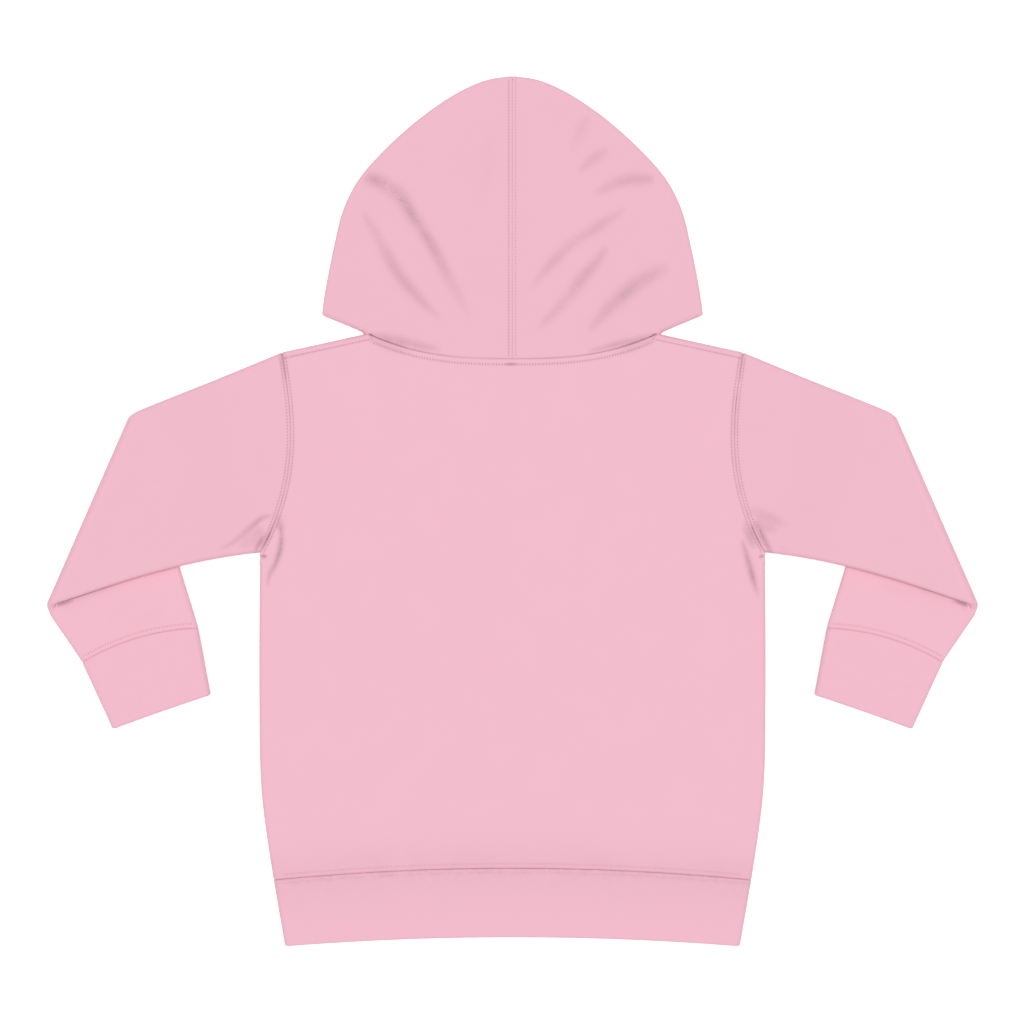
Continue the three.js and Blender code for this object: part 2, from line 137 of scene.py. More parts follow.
def lerp(a: Array | float, b: Array | float, share: Array | float) -> Array:
    """Goes from a to b by a share."""
    return a + (b - a) * share


def smoothstep(value: Array | float, low: float, high: float) -> Array:
    """Rises from 0 at low to 1 at high, with the cubic 3t^2 - 2t^3."""
    t = np.clip((value - low) / (high - low), 0.0, 1.0)
    return t * t * (3 - 2 * t)


def unit(vectors: Array) -> Array:
    """Scales vectors to length 1, along their last axis."""
    return vectors / np.maximum(np.linalg.norm(vectors, axis=-1, keepdims=True), 1e-9)


def graded(count: int, *places: tuple[float, float, float]) -> Array:
    """Stations from 0 to 1 that lie closer round some places.

    The density is 1, plus the strength of each place times a bell of the distance from it.

    Args:
        count: how many stations.
        places: centre, width and strength of each place.

    Returns:
        The stations, in order.
    """
    fine = np.linspace(0.0, 1.0, 4001)
    density = np.ones_like(fine)
    for centre, width, strength in places:
        density += strength * np.exp(-(((fine - centre) / width) ** 2))
    total = np.concatenate([[0.0], np.cumsum((density[1:] + density[:-1]) / 2)])
    return np.interp(np.linspace(0.0, total[-1], count), total, fine)


def table_curve(rows: Array, at: Array) -> Array:
    """Reads a table of two columns as a smooth curve.

    Between two rows it is the cubic Hermite curve whose slopes are the mean of the slopes beside
    each row.

    Args:
        rows: the table, sorted by its first column.
        at: values of the first column.

    Returns:
        Values of the second column.
    """
    slope = np.diff(rows[:, 1]) / np.diff(rows[:, 0])
    ends = np.concatenate([slope[:1], (slope[1:] + slope[:-1]) / 2, slope[-1:]])
    k = np.clip(np.searchsorted(rows[:, 0], at, side="right") - 1, 0, len(slope) - 1)
    span = rows[k + 1, 0] - rows[k, 0]
    t = (at - rows[k, 0]) / span
    fixed = rows[k, 1] * (2 * t**3 - 3 * t**2 + 1) + rows[k + 1, 1] * (3 * t**2 - 2 * t**3)
    return fixed + ends[k] * span * (t**3 - 2 * t**2 + t) + ends[k + 1] * span * (t**3 - t**2)


def smooth_path(points: Array, shares: Array) -> tuple[Array, Array]:
    """Runs a smooth curve through points and reads it at shares of its length.

    Each span is a cubic whose end slopes come from the points beside it, spaced by the square
    root of their distance, so the curve never loops.

    Args:
        points: places in plan, one a row.
        shares: shares of the curve's length, from 0 to 1.

    Returns:
        The places, and the unit tangents there.
    """
    ends = np.vstack([2 * points[0] - points[1], points, 2 * points[-1] - points[-2]])
    step = np.linalg.norm(np.diff(ends, axis=0), axis=1)[:, None, None] ** 0.5
    a, b, c, d = (ends[k : len(ends) - 3 + k, None, :] for k in range(4))
    before, here, after = step[:-2], step[1:-1], step[2:]
    leave = ((b - a) / before - (c - a) / (before + here) + (c - b) / here) * here
    arrive = ((c - b) / here - (d - b) / (here + after) + (d - c) / after) * here
    t = np.linspace(0.0, 1.0, 64, endpoint=False)[None, :, None]
    spans = b + leave * t + (3 * (c - b) - 2 * leave - arrive) * t**2
    spans = spans + (2 * (b - c) + leave + arrive) * t**3
    dense = np.vstack([spans.reshape(-1, 2), points[-1:]])
    length = np.concatenate([[0.0], np.cumsum(np.linalg.norm(np.diff(dense, axis=0), axis=1))])
    at = shares * length[-1]
    slopes = unit(np.gradient(dense, length, axis=0))
    places = np.stack([np.interp(at, length, dense[:, k]) for k in range(2)], axis=-1)
    tangents = np.stack([np.interp(at, length, slopes[:, k]) for k in range(2)], axis=-1)
    return places, unit(tangents)


def nearest(path: Array, points: Array, reach: float) -> tuple[Array, Array]:
    """Distance in plan from each point to the nearest stretch of a path, and where that is.

    Args:
        path: the path's places, one a row.
        points: an array whose last axis starts with x and y.
        reach: points further than this from the path's box count as infinitely far.

    Returns:
        The distances, and the shares of the path's length at the nearest places.
    """
    x, y = points[..., 0], points[..., 1]
    low, high = path.min(0) - reach, path.max(0) + reach
    near = (x > low[0]) & (x < high[0]) & (y > low[1]) & (y < high[1])
    distance = np.full(near.shape, np.inf)
    share = np.zeros(near.shape)
    flat = np.stack([x[near], y[near]], axis=-1)[:, None]
    start, way = path[None, :-1], np.diff(path, axis=0)[None]
    along = np.clip(((flat - start) * way).sum(-1) / (way**2).sum(-1), 0.0, 1.0)
    gap = np.linalg.norm(flat - start - way * along[..., None], axis=-1)
    best = gap.argmin(1)
    row = np.arange(len(best))
    step = np.linalg.norm(way[0], axis=-1)
    length = np.concatenate([[0.0], np.cumsum(step)])
    distance[near] = gap[row, best]
    share[near] = (length[best] + along[row, best] * step[best]) / length[-1]
    return distance, share


def bowed(start: tuple[float, float], end: tuple[float, float], bow: float) -> Callable:
    """A parabola in plan from start to end, whose middle stands bow to its left.

    Args:
        start: the first place.
        end: the last place.
        bow: how far the middle stands aside, in millimetres.

    Returns:
        A function from shares to places.
    """
    first, last = np.array(start), np.array(end)
    way = unit(last - first)
    aside = np.array([-way[1], way[0]])

    def curve(share: Array) -> Array:
        """Places at shares of the way, on a new last axis."""
        s = np.asarray(share)[..., None]
        return lerp(first, last, s) + aside * bow * 4 * s * (1 - s)

    return curve


def offset_path(path: Array, aside: float) -> Array:
    """Moves a path sideways by a distance, to the left of its way."""
    way = unit(np.gradient(path, axis=0))
    return path + aside * np.stack([-way[:, 1], way[:, 0]], axis=-1)


@dataclass(frozen=True)
class Seam:
    """A sewn line: a V groove in the outer face, with a dark line painted where the cloths meet,
    partly the seam's dark joint and partly painted shade in the groove.
    """

    path: Array
    width: float = 1.5
    depth: float = 0.5
    line: float = 0.5
    # how dark the painted line is: partly dark joint, partly painted shade in the groove
    shade: float = 0.3


@dataclass(frozen=True)
class StitchRow:
    """A row of stitches along a path in plan, in a shallow dent in the outer face."""

    path: Array
    pitch: float = 2.0
    length: float = 1.15
    thread: float = 0.55
    across: bool = False
    dent: float = 0.2
    dent_width: float = 0.9
    # painted shade in and beside the stitches' dent, darkening the cloth's colour
    shade: float = 0.13


@dataclass(frozen=True)
class Crease:
    """A crease through points in plan, in millimetres.

    It sinks by its depth times a bell of the distance across it, and its shade darkens the colour
    by the same bell: painted shade in the crease. A parabola along it, whose top stands at the
    share peak, makes it die out at both ends and swell between them. A negative depth makes a ridge.
    """

    points: tuple[tuple[float, float], ...]
    width: float
    depth: float
    # how far painted shade darkens the colour in the crease
    shade: float
    peak: float = 0.5

    def bell(self, plan: Array) -> Array:
        """How far the crease is there at each place, from 0 to 1."""
        path, _ = smooth_path(np.array(self.points), np.linspace(0.0, 1.0, 24))
        distance, share = nearest(path, plan, 3 * self.width)
        along = np.clip(share, 0.0, 1.0) ** (math.log(0.5) / math.log(self.peak))
        arch = np.clip(4 * along * (1 - along), 0.0, 1.0)
        swell = self.width * (0.65 + 0.5 * arch)
        return arch**0.7 * np.exp(-((distance / swell) ** 2))


@dataclass(frozen=True)
class Relief:
    """What the seams, rows of stitches and creases do to a panel, with the painted shade that they
    lay in its colour and an even darkening all over.
    """

    seams: tuple[Seam, ...] = ()
    rows: tuple[StitchRow, ...] = ()
    creases: tuple[Crease, ...] = ()
    # share by which the colour is darkened evenly all over
    even_darkening: float = 0.0
    deepest: float = 1.35

    def raised(self, plan: Array) -> Array:
        """How far the creases raise the whole cloth at places in plan."""
        total = np.zeros(plan.shape[:-1])
        for crease in self.creases:
            total -= crease.depth * crease.bell(plan)
        return total

    def sunk(self, plan: Array) -> Array:
        """How far the outer face is sunk: (1 - distance / width)^2 at each seam and row."""
        total = np.zeros(plan.shape[:-1])
        for seam in self.seams:
            distance, _ = nearest(seam.path, plan, seam.width)
            total += seam.depth * np.clip(1 - distance / seam.width, 0.0, 1.0) ** 2
        for row in self.rows:
            distance, _ = nearest(row.path, plan, row.dent_width)
            total += row.dent * np.clip(1 - distance / row.dent_width, 0.0, 1.0) ** 2
        return np.minimum(total, self.deepest)

    def sunk_beneath(self, plan: Array) -> Array:
        """The same where the cloth rests: 0.7 of each crease's depth sinks the outer face too."""
        rest = self.sunk(plan) + 0.7 * np.maximum(-self.raised(plan), 0.0)
        return np.minimum(rest, self.deepest)

    def pressed(self, plan: Array) -> Array:
        """How far painted shade darkens the colour, from 0 to 1: what is left when all have had a
        share.
        """
        left = np.full(plan.shape[:-1], 1 - self.even_darkening)
        for seam in self.seams:
            distance, _ = nearest(seam.path, plan, 4 * seam.line)
            left *= 1 - seam.shade * np.exp(-((distance / seam.line) ** 2))
        for row in self.rows:
            distance, _ = nearest(row.path, plan, 2 * row.dent_width)
            left *= 1 - row.shade * np.exp(-((distance / (0.8 * row.dent_width)) ** 2))
        for crease in self.creases:
            left *= 1 - crease.shade * crease.bell(plan)
        return 1 - left


def mirrored_row(row: StitchRow) -> StitchRow:
    """The same row on the garment's other half."""
    return replace(row, path=row.path * (-1, 1))


@dataclass(frozen=True)
class Neckline:
    """A neckline in plan: y rises from low at the centre to the neck point by a power of x."""

    low: float
    power: float

    def y(self, x: Array) -> Array:
        """Height in plan at a distance from the centre line."""
        share = np.clip(np.abs(x) / NECK_POINT[0], 0.0, 1.0)
        return lerp(self.low, NECK_POINT[1], share**self.power)

    def path(self, reach: float = NECK_POINT[0]) -> Array:
        """The neckline as a path from left to right, out to a reach on each side."""
        x = np.linspace(-reach, reach, 90)
        return np.stack([x, self.y(x)], axis=-1)


BACK_NECK = Neckline(96.2, 2.75)
FRONT_NECK = Neckline(54.0, 2.2)


def body_half_width(y: Array) -> Array:
    """Half the body's width at a height: the side seam below the armpit, the armhole above."""
    return np.where(y < ARMPIT[1], table_curve(SIDE_SEAM, y), table_curve(ARMHOLE, y))


def armhole_path(side: Side, top: float = SHOULDER_TIP[1]) -> Array:
    """The armhole seam as a path from the armpit up to the shoulder."""
    y = np.linspace(ARMPIT[1], top, 80)
    return np.stack([side.value * body_half_width(y), y], axis=-1)


def hem_path() -> Array:
    """The seam between body and waistband, from left to right."""
    half, y = HEM_SEAM["half"], HEM_SEAM["side_y"]
    return bowed((-half, y), (half, y), HEM_SEAM["rise"])(np.linspace(0.0, 1.0, 90))


def underarm(gone: Array) -> Array:
    """How far the underarm bows up at a share of its way: a curve that leans to the armhole.

    It is 4.83 g (1 - g)^1.3, which is 1 at its top.
    """
    return 4.83 * gone * (1 - gone) ** 1.3


def underarm_path(side: Side) -> Array:
    """The upper arm's lower edge as a path from the armpit to the elbow."""
    gone = np.linspace(0.0, 1.0, 60)
    path = lerp(np.array(ARMPIT), np.array(ELBOW), gone[:, None])
    path[:, 1] += UNDERARM_BOW * underarm(gone)
    return path * (side.value, 1)


def cuff_seam_path(side: Side, start: float = 0.0, end: float = 1.0) -> Array:
    """The seam between sleeve and cuff, from its inner end to its outer one."""
    seam = bowed(CUFF_SEAM["inner"], CUFF_SEAM["outer"], CUFF_SEAM["bow"])
    return seam(np.linspace(start, end, 50)) * (side.value, 1)


def shoulder_path(side: Side) -> Array:
    """The shoulder seam as a path from just inside the neck point out to its tip."""
    ends = np.array([NECK_POINT, SHOULDER_TIP])
    return lerp(ends[0], ends[1], np.linspace(-0.05, 0.99, 14)[:, None]) * (side.value, 1)


SHOULDER_ROW = StitchRow(offset_path(shoulder_path(Side.RIGHT), -3.9), shade=0.2)
ARMHOLE_BODY_ROW = StitchRow(offset_path(armhole_path(Side.RIGHT, 97.0), 1.9)[1:], shade=0.2)
ARMHOLE_SLEEVE_ROW = StitchRow(offset_path(armhole_path(Side.RIGHT, 97.0), -1.9)[2:])
NECK_ROW = StitchRow(
    offset_path(BACK_NECK.path(86.5), -3.6),
    pitch=1.75,
    length=1.7,
    thread=0.45,
    across=True,
    dent_width=1.2,
    shade=0.1,
)
HEM_ROW = StitchRow(
    offset_path(hem_path()[2:-2], 2.9),
    pitch=1.6,
    length=1.9,
    thread=0.2,
    across=True,
    dent=0.08,
    dent_width=1.4,
    shade=0.02,
)
CUFF_ROW = StitchRow(
    offset_path(cuff_seam_path(Side.RIGHT, 0.04, 0.97), 3.0),
    pitch=1.7,
    length=1.6,
    thread=0.32,
    across=True,
    dent=0.15,
    dent_width=1.2,
    shade=0.02,
)
BAR_TACK = StitchRow(
    np.array([(-3.7, 92.8), (1.5, 92.8)]),
    pitch=1.25,
    length=1.9,
    thread=0.6,
    across=True,
    dent=0.3,
    dent_width=1.2,
    shade=0.4,
)
CENTRE_ROWS = {
    Side.LEFT: StitchRow(np.array([(-2.4, 97.4), (-2.4, 272.4)]), thread=0.5, shade=0.1),
    Side.RIGHT: StitchRow(
        np.array([(2.0, 97.4), (2.0, 272.6)]), thread=0.3, dent=0.1, shade=0.04
    ),
}

# Creases of the hood, with painted shade in them and above the neck seam's corners
HOOD_CREASES = (
    Crease(
        ((-93, 212), (-73.7, 201.3), (-61.1, 183.6), (-48.5, 163.5), (-39, 145)),
        width=3.7, depth=1.3, shade=0.5, peak=0.2,
    ),
    Crease(((-57, 177), (-48.5, 163.5), (-37.8, 142.7), (-26, 120)), 3.8, 0.7, 0.13, 0.4),
    Crease(
        ((-94.5, 189), (-85, 172.9), (-73.7, 152.1), (-58, 133.2), (-44, 119.5)),
        width=3.3, depth=1.1, shade=0.27,
    ),
    Crease(((61, 228.5), (50.4, 221.4), (41, 212.5)), width=3.0, depth=0.8, shade=0.2),
    Crease(((89.5, 209.3), (71.2, 208.2), (50, 199.5)), 3.3, 1.1, 0.3, 0.35),
    Crease(((72, 191.5), (53.6, 179.2), (36.5, 167.9), (10, 139)), 3.0, 1.1, 0.27, 0.45),
    Crease(((60, 167), (46, 149), (33.4, 133.2), (16, 114.5)), 3.4, 1.1, 0.28, 0.42),
    Crease(((99.5, 154.2), (80.6, 144.6), (64.9, 132), (48, 113)), 4.0, 1.3, 0.33, 0.4),
    Crease(((48.5, 250), (43, 239), (36, 225)), width=3.4, depth=0.5, shade=0.12),
    Crease(((-14, 250), (-15, 225), (-19, 190)), width=4.5, depth=0.4, shade=0.03),
    Crease(((-91, 112), (-80, 109.3), (-68, 106.6), (-57, 104.2), (-44, 101.6)), 2.8, 0.5, 0.3),
    Crease(((91, 112), (80, 109), (68, 105.9), (57, 103), (46, 100.5)), 1.9, 0.5, 0.3),
    Crease(((-92, 111), (-82, 108), (-66, 103.2)), width=0.9, depth=0.3, shade=0.3, peak=0.4),
    Crease(((92, 111), (82, 108), (66, 103.2)), width=0.9, depth=0.3, shade=0.2, peak=0.4),
)
# Painted shade on the back just below the neck seam's corners, where the hood bulges over it
NECK_CORNER_CREASES = (
    Crease(((-90, 110), (-82, 105.6), (-72, 102), (-62, 99.5)), 2.4, 0.3, 0.17, 0.4),
    Crease(((90, 110), (82, 105.6), (72, 102), (62, 99.5)), 2.4, 0.3, 0.14, 0.4),
)
# Creases at both armpits; their shade is painted shade in the folds
LEFT_ARMPIT_CREASES = (
    Crease(
        ((-151, -2), (-157.7, -4.1), (-165.1, -10.4), (-175.8, -19.5), (-184.5, -24)),
        width=1.6, depth=0.8, shade=0.38, peak=0.4,
    ),
    Crease(((-156.5, -10), (-162.5, -16.5), (-172, -22.5)), width=4.5, depth=0.4, shade=0.22),
    Crease(((-156.4, -14.5), (-159, -19.5), (-162.3, -25)), 1.3, 0.5, 0.7, 0.6),
    Crease(
        ((-147, -6), (-145.4, -15), (-146.3, -24), (-149.3, -33), (-153.2, -40.5), (-154.4, -48)),
        width=1.7, depth=0.8, shade=0.52, peak=0.5,
    ),
    Crease(((-148.5, -2), (-144.5, -13)), width=2.6, depth=0.3, shade=0.26),
    Crease(((-149.5, -6), (-153, -14.4), (-158.2, -25)), width=0.9, depth=0.3, shade=0.55, peak=0.6),
    Crease(((-159.4, -27.8), (-154, -28.4)), width=1.0, depth=0.4, shade=0.95),
)
RIGHT_ARMPIT_CREASES = (
    Crease(((148.5, 1), (158, -2.5), (174, -9)), width=3.4, depth=0.5, shade=0.26, peak=0.35),
    Crease(((151, -6), (158, -9.5), (168, -12.5)), width=3.4, depth=0.4, shade=0.22, peak=0.4),
    Crease(((152.6, -5), (156.7, -13.5), (164.6, -30)), width=1.5, depth=0.6, shade=0.62, peak=0.6),
    Crease(((166, -22), (174, -24)), width=1.6, depth=0.3, shade=0.08),
    Crease(
        ((143.9, -17), (146.9, -26), (149.7, -36), (151.9, -44), (155.2, -54.5)),
        width=1.9, depth=0.8, shade=0.5, peak=0.5,
    ),
    Crease(((145.4, -5), (149, -15), (152.4, -24)), width=2.4, depth=0.4, shade=0.32),
    Crease(((149.1, -6), (152.8, -14.4), (158, -25)), width=0.8, depth=0.3, shade=0.45, peak=0.5),
    Crease(((159.4, -27.8), (154.4, -28.6)), width=0.9, depth=0.4, shade=0.7),
)
# Small folds on the forearm, with a little painted shade
FOREARM_CREASES = (
    Crease(((-242, -46.5), (-250, -55.5), (-257.5, -62)), width=2.4, depth=-0.4, shade=0.0),
    Crease(((-238, -52), (-245, -62), (-256, -69)), width=3.2, depth=0.35, shade=0.02),
    Crease(((-219, -60), (-229, -67.5), (-243, -70)), width=3.4, depth=0.35, shade=0.03),
    Crease(((228, -45), (243, -49.5), (256, -56)), width=3.4, depth=0.35, shade=0.03),
    Crease(((281.5, -58), (285, -61.5), (287.5, -65)), width=1.3, depth=0.4, shade=0.08),
)
# Painted shadow along the fold line at the elbow, where the upper arm lies on the forearm
ELBOW_CREASES = (
    Crease(((-276, -56), (-284, -58.2), (-291, -60.7)), width=1.0, depth=0.2, shade=0.65),
    Crease(((276, -56), (284, -58.2), (291, -60.7)), width=1.0, depth=0.2, shade=0.65),
)
# Painted shade along the armhole seam's top at the shoulder
SHOULDER_CREASES = (
    Crease(((-145.4, 101), (-144, 92), (-142.4, 80)), width=1.3, depth=0.2, shade=0.3, peak=0.25),
    Crease(((145.4, 101), (144, 92), (142.4, 80)), width=1.3, depth=0.2, shade=0.3, peak=0.25),
)


def under_copy(crease: Crease) -> Crease:
    """A like crease on the hidden layer below, on the other half and a little lower."""
    points = tuple((-x * 0.985, y - 3.5) for x, y in crease.points)
    return replace(crease, points=points, shade=0.7 * crease.shade)


@dataclass
class Wall:
    """A wall of cloth about a grid of points in its middle.

    Each point moves half the thickness both ways along the grid's own normal, less what is sunk
    from its outer or inner face. A round wall closes on itself along its rows.
    """

    middle: Array
    outward: Array
    thickness: float
    sunk: Array | float = 0.0
    # painted shade on the outer face, from 0 to 1, that darkens its colour
    pressed: Array | float = 0.0
    sunk_inside: Array | float = 0.0
    round: bool = False
    centre_seam: bool = False

    def normals(self) -> Array:
        """Unit normals from the differences along rows and columns, turned outwards."""
        if self.round:
            along_row = np.roll(self.middle, -1, 1) - np.roll(self.middle, 1, 1)
        else:
            along_row = np.gradient(self.middle, axis=1)
        normal = np.cross(along_row, np.gradient(self.middle, axis=0))
        if self.centre_seam:
            normal[-1, :, 0] = 0.0
        normal = unit(normal)
        return normal * np.sign(np.sum(normal * self.outward))

    def faces(self) -> tuple[Array, Array]:
        """Quads of both faces and the rims, with each corner's place in the grid.

        Returns:
            Four corner numbers a face, and four pairs of row and column a face.
        """
        rows, columns = self.middle.shape[:2]
        other = rows * columns
        wide = columns if self.round else columns - 1
        i, j = (g.ravel() for g in np.meshgrid(np.arange(rows - 1), np.arange(wide), indexing="ij"))
        corners = ((0, 0), (0, 1), (1, 1), (1, 0))
        step = np.stack([np.stack([i + a, j + b], -1) for a, b in corners], 1)
        face = step[..., 0] * columns + step[..., 1] % columns
        quads, steps = [face, face[:, ::-1] + other], [step, step[:, ::-1]]
        along_row, along_column = np.arange(wide), np.arange(rows - 1)
        rims = [(0 * along_row + row, along_row, (0, 1), turn) for row, turn in
                ((0, 1), (rows - 1, -1))]
        if not self.round:
            rims += [(along_column, 0 * along_column + column, (1, 0), turn) for column, turn in
                     ((0, -1), (columns - 1, 1))]
        for row, column, onward, turn in rims:
            near = np.stack([row, column], -1)
            edge = np.stack([near, near, near + onward, near + onward], 1)
            corner = edge[..., 0] * columns + edge[..., 1] % columns + (0, other, other, 0)
            quads.append(corner[:, ::turn])
            steps.append(edge[:, ::turn])
        return np.concatenate(quads), np.concatenate(steps)

    def lengths(self) -> tuple[Array, Array]:
        """Lengths in the cloth along its middle row and along one of its columns."""
        row = self.middle[len(self.middle) // 2]
        row = np.vstack([row, row[:1]]) if self.round else row
        column = self.middle[:, self.middle.shape[1] // 3]
        steps = (np.linalg.norm(np.diff(line, axis=0), axis=1) for line in (row, column))
        across, along = (np.concatenate([[0.0], np.cumsum(step)]) for step in steps)
        return across, along

    def build(self, name: str) -> bpy.types.Object:
        """Makes the wall as one closed mesh, with its lengths in the cloth and its painted shade.

        Args:
            name: the piece's name.

        Returns:
            The new object, at the origin.
        """
        normal = self.normals()
        shape = self.middle.shape[:2]
        sunk = np.broadcast_to(self.sunk, shape)[..., None]
        sunk_inside = np.broadcast_to(self.sunk_inside, shape)[..., None]
        outer = self.middle + normal * (self.thickness / 2 - sunk)
        inner = self.middle - normal * (self.thickness / 2 - sunk_inside)
        points = np.concatenate([outer.reshape(-1, 3), inner.reshape(-1, 3)])
        points[:, 2] = np.maximum(points[:, 2], 0.0)
        quads, steps = self.faces()
        a, b, c, d = (points[quads[:, k]] for k in range(4))
        volume = (a * np.cross(b, c)).sum() + (a * np.cross(c, d)).sum()
        turn = 1 if volume > 0 else -1
        across, along = self.lengths()
        cloth = np.stack([across[steps[..., 1]], along[steps[..., 0]]], -1)
        piece = new_piece(name, points, quads[:, ::turn], cloth[:, ::turn])
        # Painted shade lies on the outer face's points only, none on the inner face.
        pressed = np.zeros((2,) + shape, np.float32)
        pressed[0] = self.pressed
        layer = piece.data.attributes.new("pressed", "FLOAT", "POINT")
        layer.data.foreach_set("value", pressed.ravel())
        return piece


def new_piece(name: str, points: Array, quads: Array, cloth: Array | None) -> bpy.types.Object:
    """Puts points and faces into a new smooth object.

    Args:
        name: the object's name.
        points: places in millimetres.
        quads: four corner numbers a face.
        cloth: for each face, its corners' two lengths in the cloth, in millimetres, or None.

    Returns:
        The new object, at the origin.
    """
    mesh = bpy.data.meshes.new(name)
    mesh.from_pydata((points * METRE).tolist(), [], quads.tolist())
    if cloth is not None:
        layer = mesh.uv_layers.new(name="cloth")
        layer.data.foreach_set("uv", (cloth * METRE).astype(np.float32).ravel())
    mesh.shade_smooth()
    mesh.set_sharp_from_angle(angle=math.radians(55))
    piece = bpy.data.objects.new(name, mesh)
    bpy.context.scene.collection.objects.link(piece)
    return piece


def dress(
    piece: bpy.types.Object,
    node: str | None,
    finish: bpy.types.Material,
) -> bpy.types.Object:
    """Gives a piece its finish, hangs it on the root and hides the solid that it stands for.

    Args:
        piece: the object.
        node: the solid that it replaces, or None for a piece that only adds to one.
        finish: the material.

    Returns:
        The same object.
    """
    piece.data.materials.append(finish)
    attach(piece, "root")
    if node is not None:
        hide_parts(node)
    return piece


@dataclass
class Stitching:
    """Rows of thread that lie in the cloth: each stitch is a short bent capsule."""

    name: str
    rows: tuple[StitchRow, ...]
    height: Callable
    facing: Facing = Facing.UP
    rings: int = 6
    sides: int = 6

    def row_points(self, row: StitchRow) -> Array:
        """The stitches of a row, as capsules laid on the cloth.

        A capsule's radius is the fourth root of 1 - a^4 along it, with a from -1 to 1. Its middle
        stands a little over the cloth and its ends dip into it, as the same power of a.

        Args:
            row: the row of stitches.

        Returns:
            Points, with one stitch on the first axis.
        """
        step = np.linalg.norm(np.diff(row.path, axis=0), axis=1)
        length = np.concatenate([[0.0], np.cumsum(step)])
        at = np.arange(row.pitch / 2, length[-1], row.pitch)
        centre = np.stack([np.interp(at, length, row.path[:, k]) for k in range(2)], -1)
        slopes = np.gradient(row.path, length, axis=0)
        way = unit(np.stack([np.interp(at, length, slopes[:, k]) for k in range(2)], -1))
        if row.across:
            way = np.stack([-way[:, 1], way[:, 0]], axis=-1)
        aside = np.stack([-way[:, 1], way[:, 0]], axis=-1)
        a = np.sin(np.linspace(-np.pi / 2, np.pi / 2, self.rings)) * 0.999
        turn = np.linspace(0.0, 2 * np.pi, self.sides, endpoint=False)
        radius = row.thread / 2 * (1 - a**4) ** 0.25
        bend = 0.12 - 0.45 * a**4
        spine = centre[:, None] + way[:, None] * (a[:, None] * row.length / 2)
        level = self.height(spine) + self.facing.value * bend
        plan = spine[:, :, None] + aside[:, None, None] * (radius[:, None] * np.cos(turn))[..., None]
        z = level[..., None] + radius[:, None] * np.sin(turn)
        return np.concatenate([plan, z[..., None]], axis=-1)

    def faces(self) -> Array:
        """Quads of one capsule: its sides, and two at each end."""
        i, j = (g.ravel() for g in np.meshgrid(np.arange(self.rings - 1), np.arange(self.sides)))
        k = (j + 1) % self.sides
        here, there = i * self.sides, (i + 1) * self.sides
        sides = np.stack([here + j, here + k, there + k, there + j], 1)
        end = np.array([(0, 1, 2, 3), (3, 4, 5, 0)])
        return np.concatenate([sides, end[:, ::-1], end + (self.rings - 1) * self.sides])

    def build(self, finish: bpy.types.Material) -> bpy.types.Object:
        """Joins all the stitches into one mesh with its faces outwards."""
        stitches = np.concatenate([self.row_points(row) for row in self.rows])
        stitches[..., 2] = np.maximum(stitches[..., 2], 0.02)
        first = np.arange(len(stitches))[:, None, None] * self.rings * self.sides
        quads = (self.faces()[None] + first).reshape(-1, 4)
        piece = new_piece(self.name, stitches.reshape(-1, 3), quads, None)
        work = bmesh.new()
        work.from_mesh(piece.data)
        bmesh.ops.recalc_face_normals(work, faces=work.faces)
        work.to_mesh(piece.data)
        work.free()
        return dress(piece, None, finish)


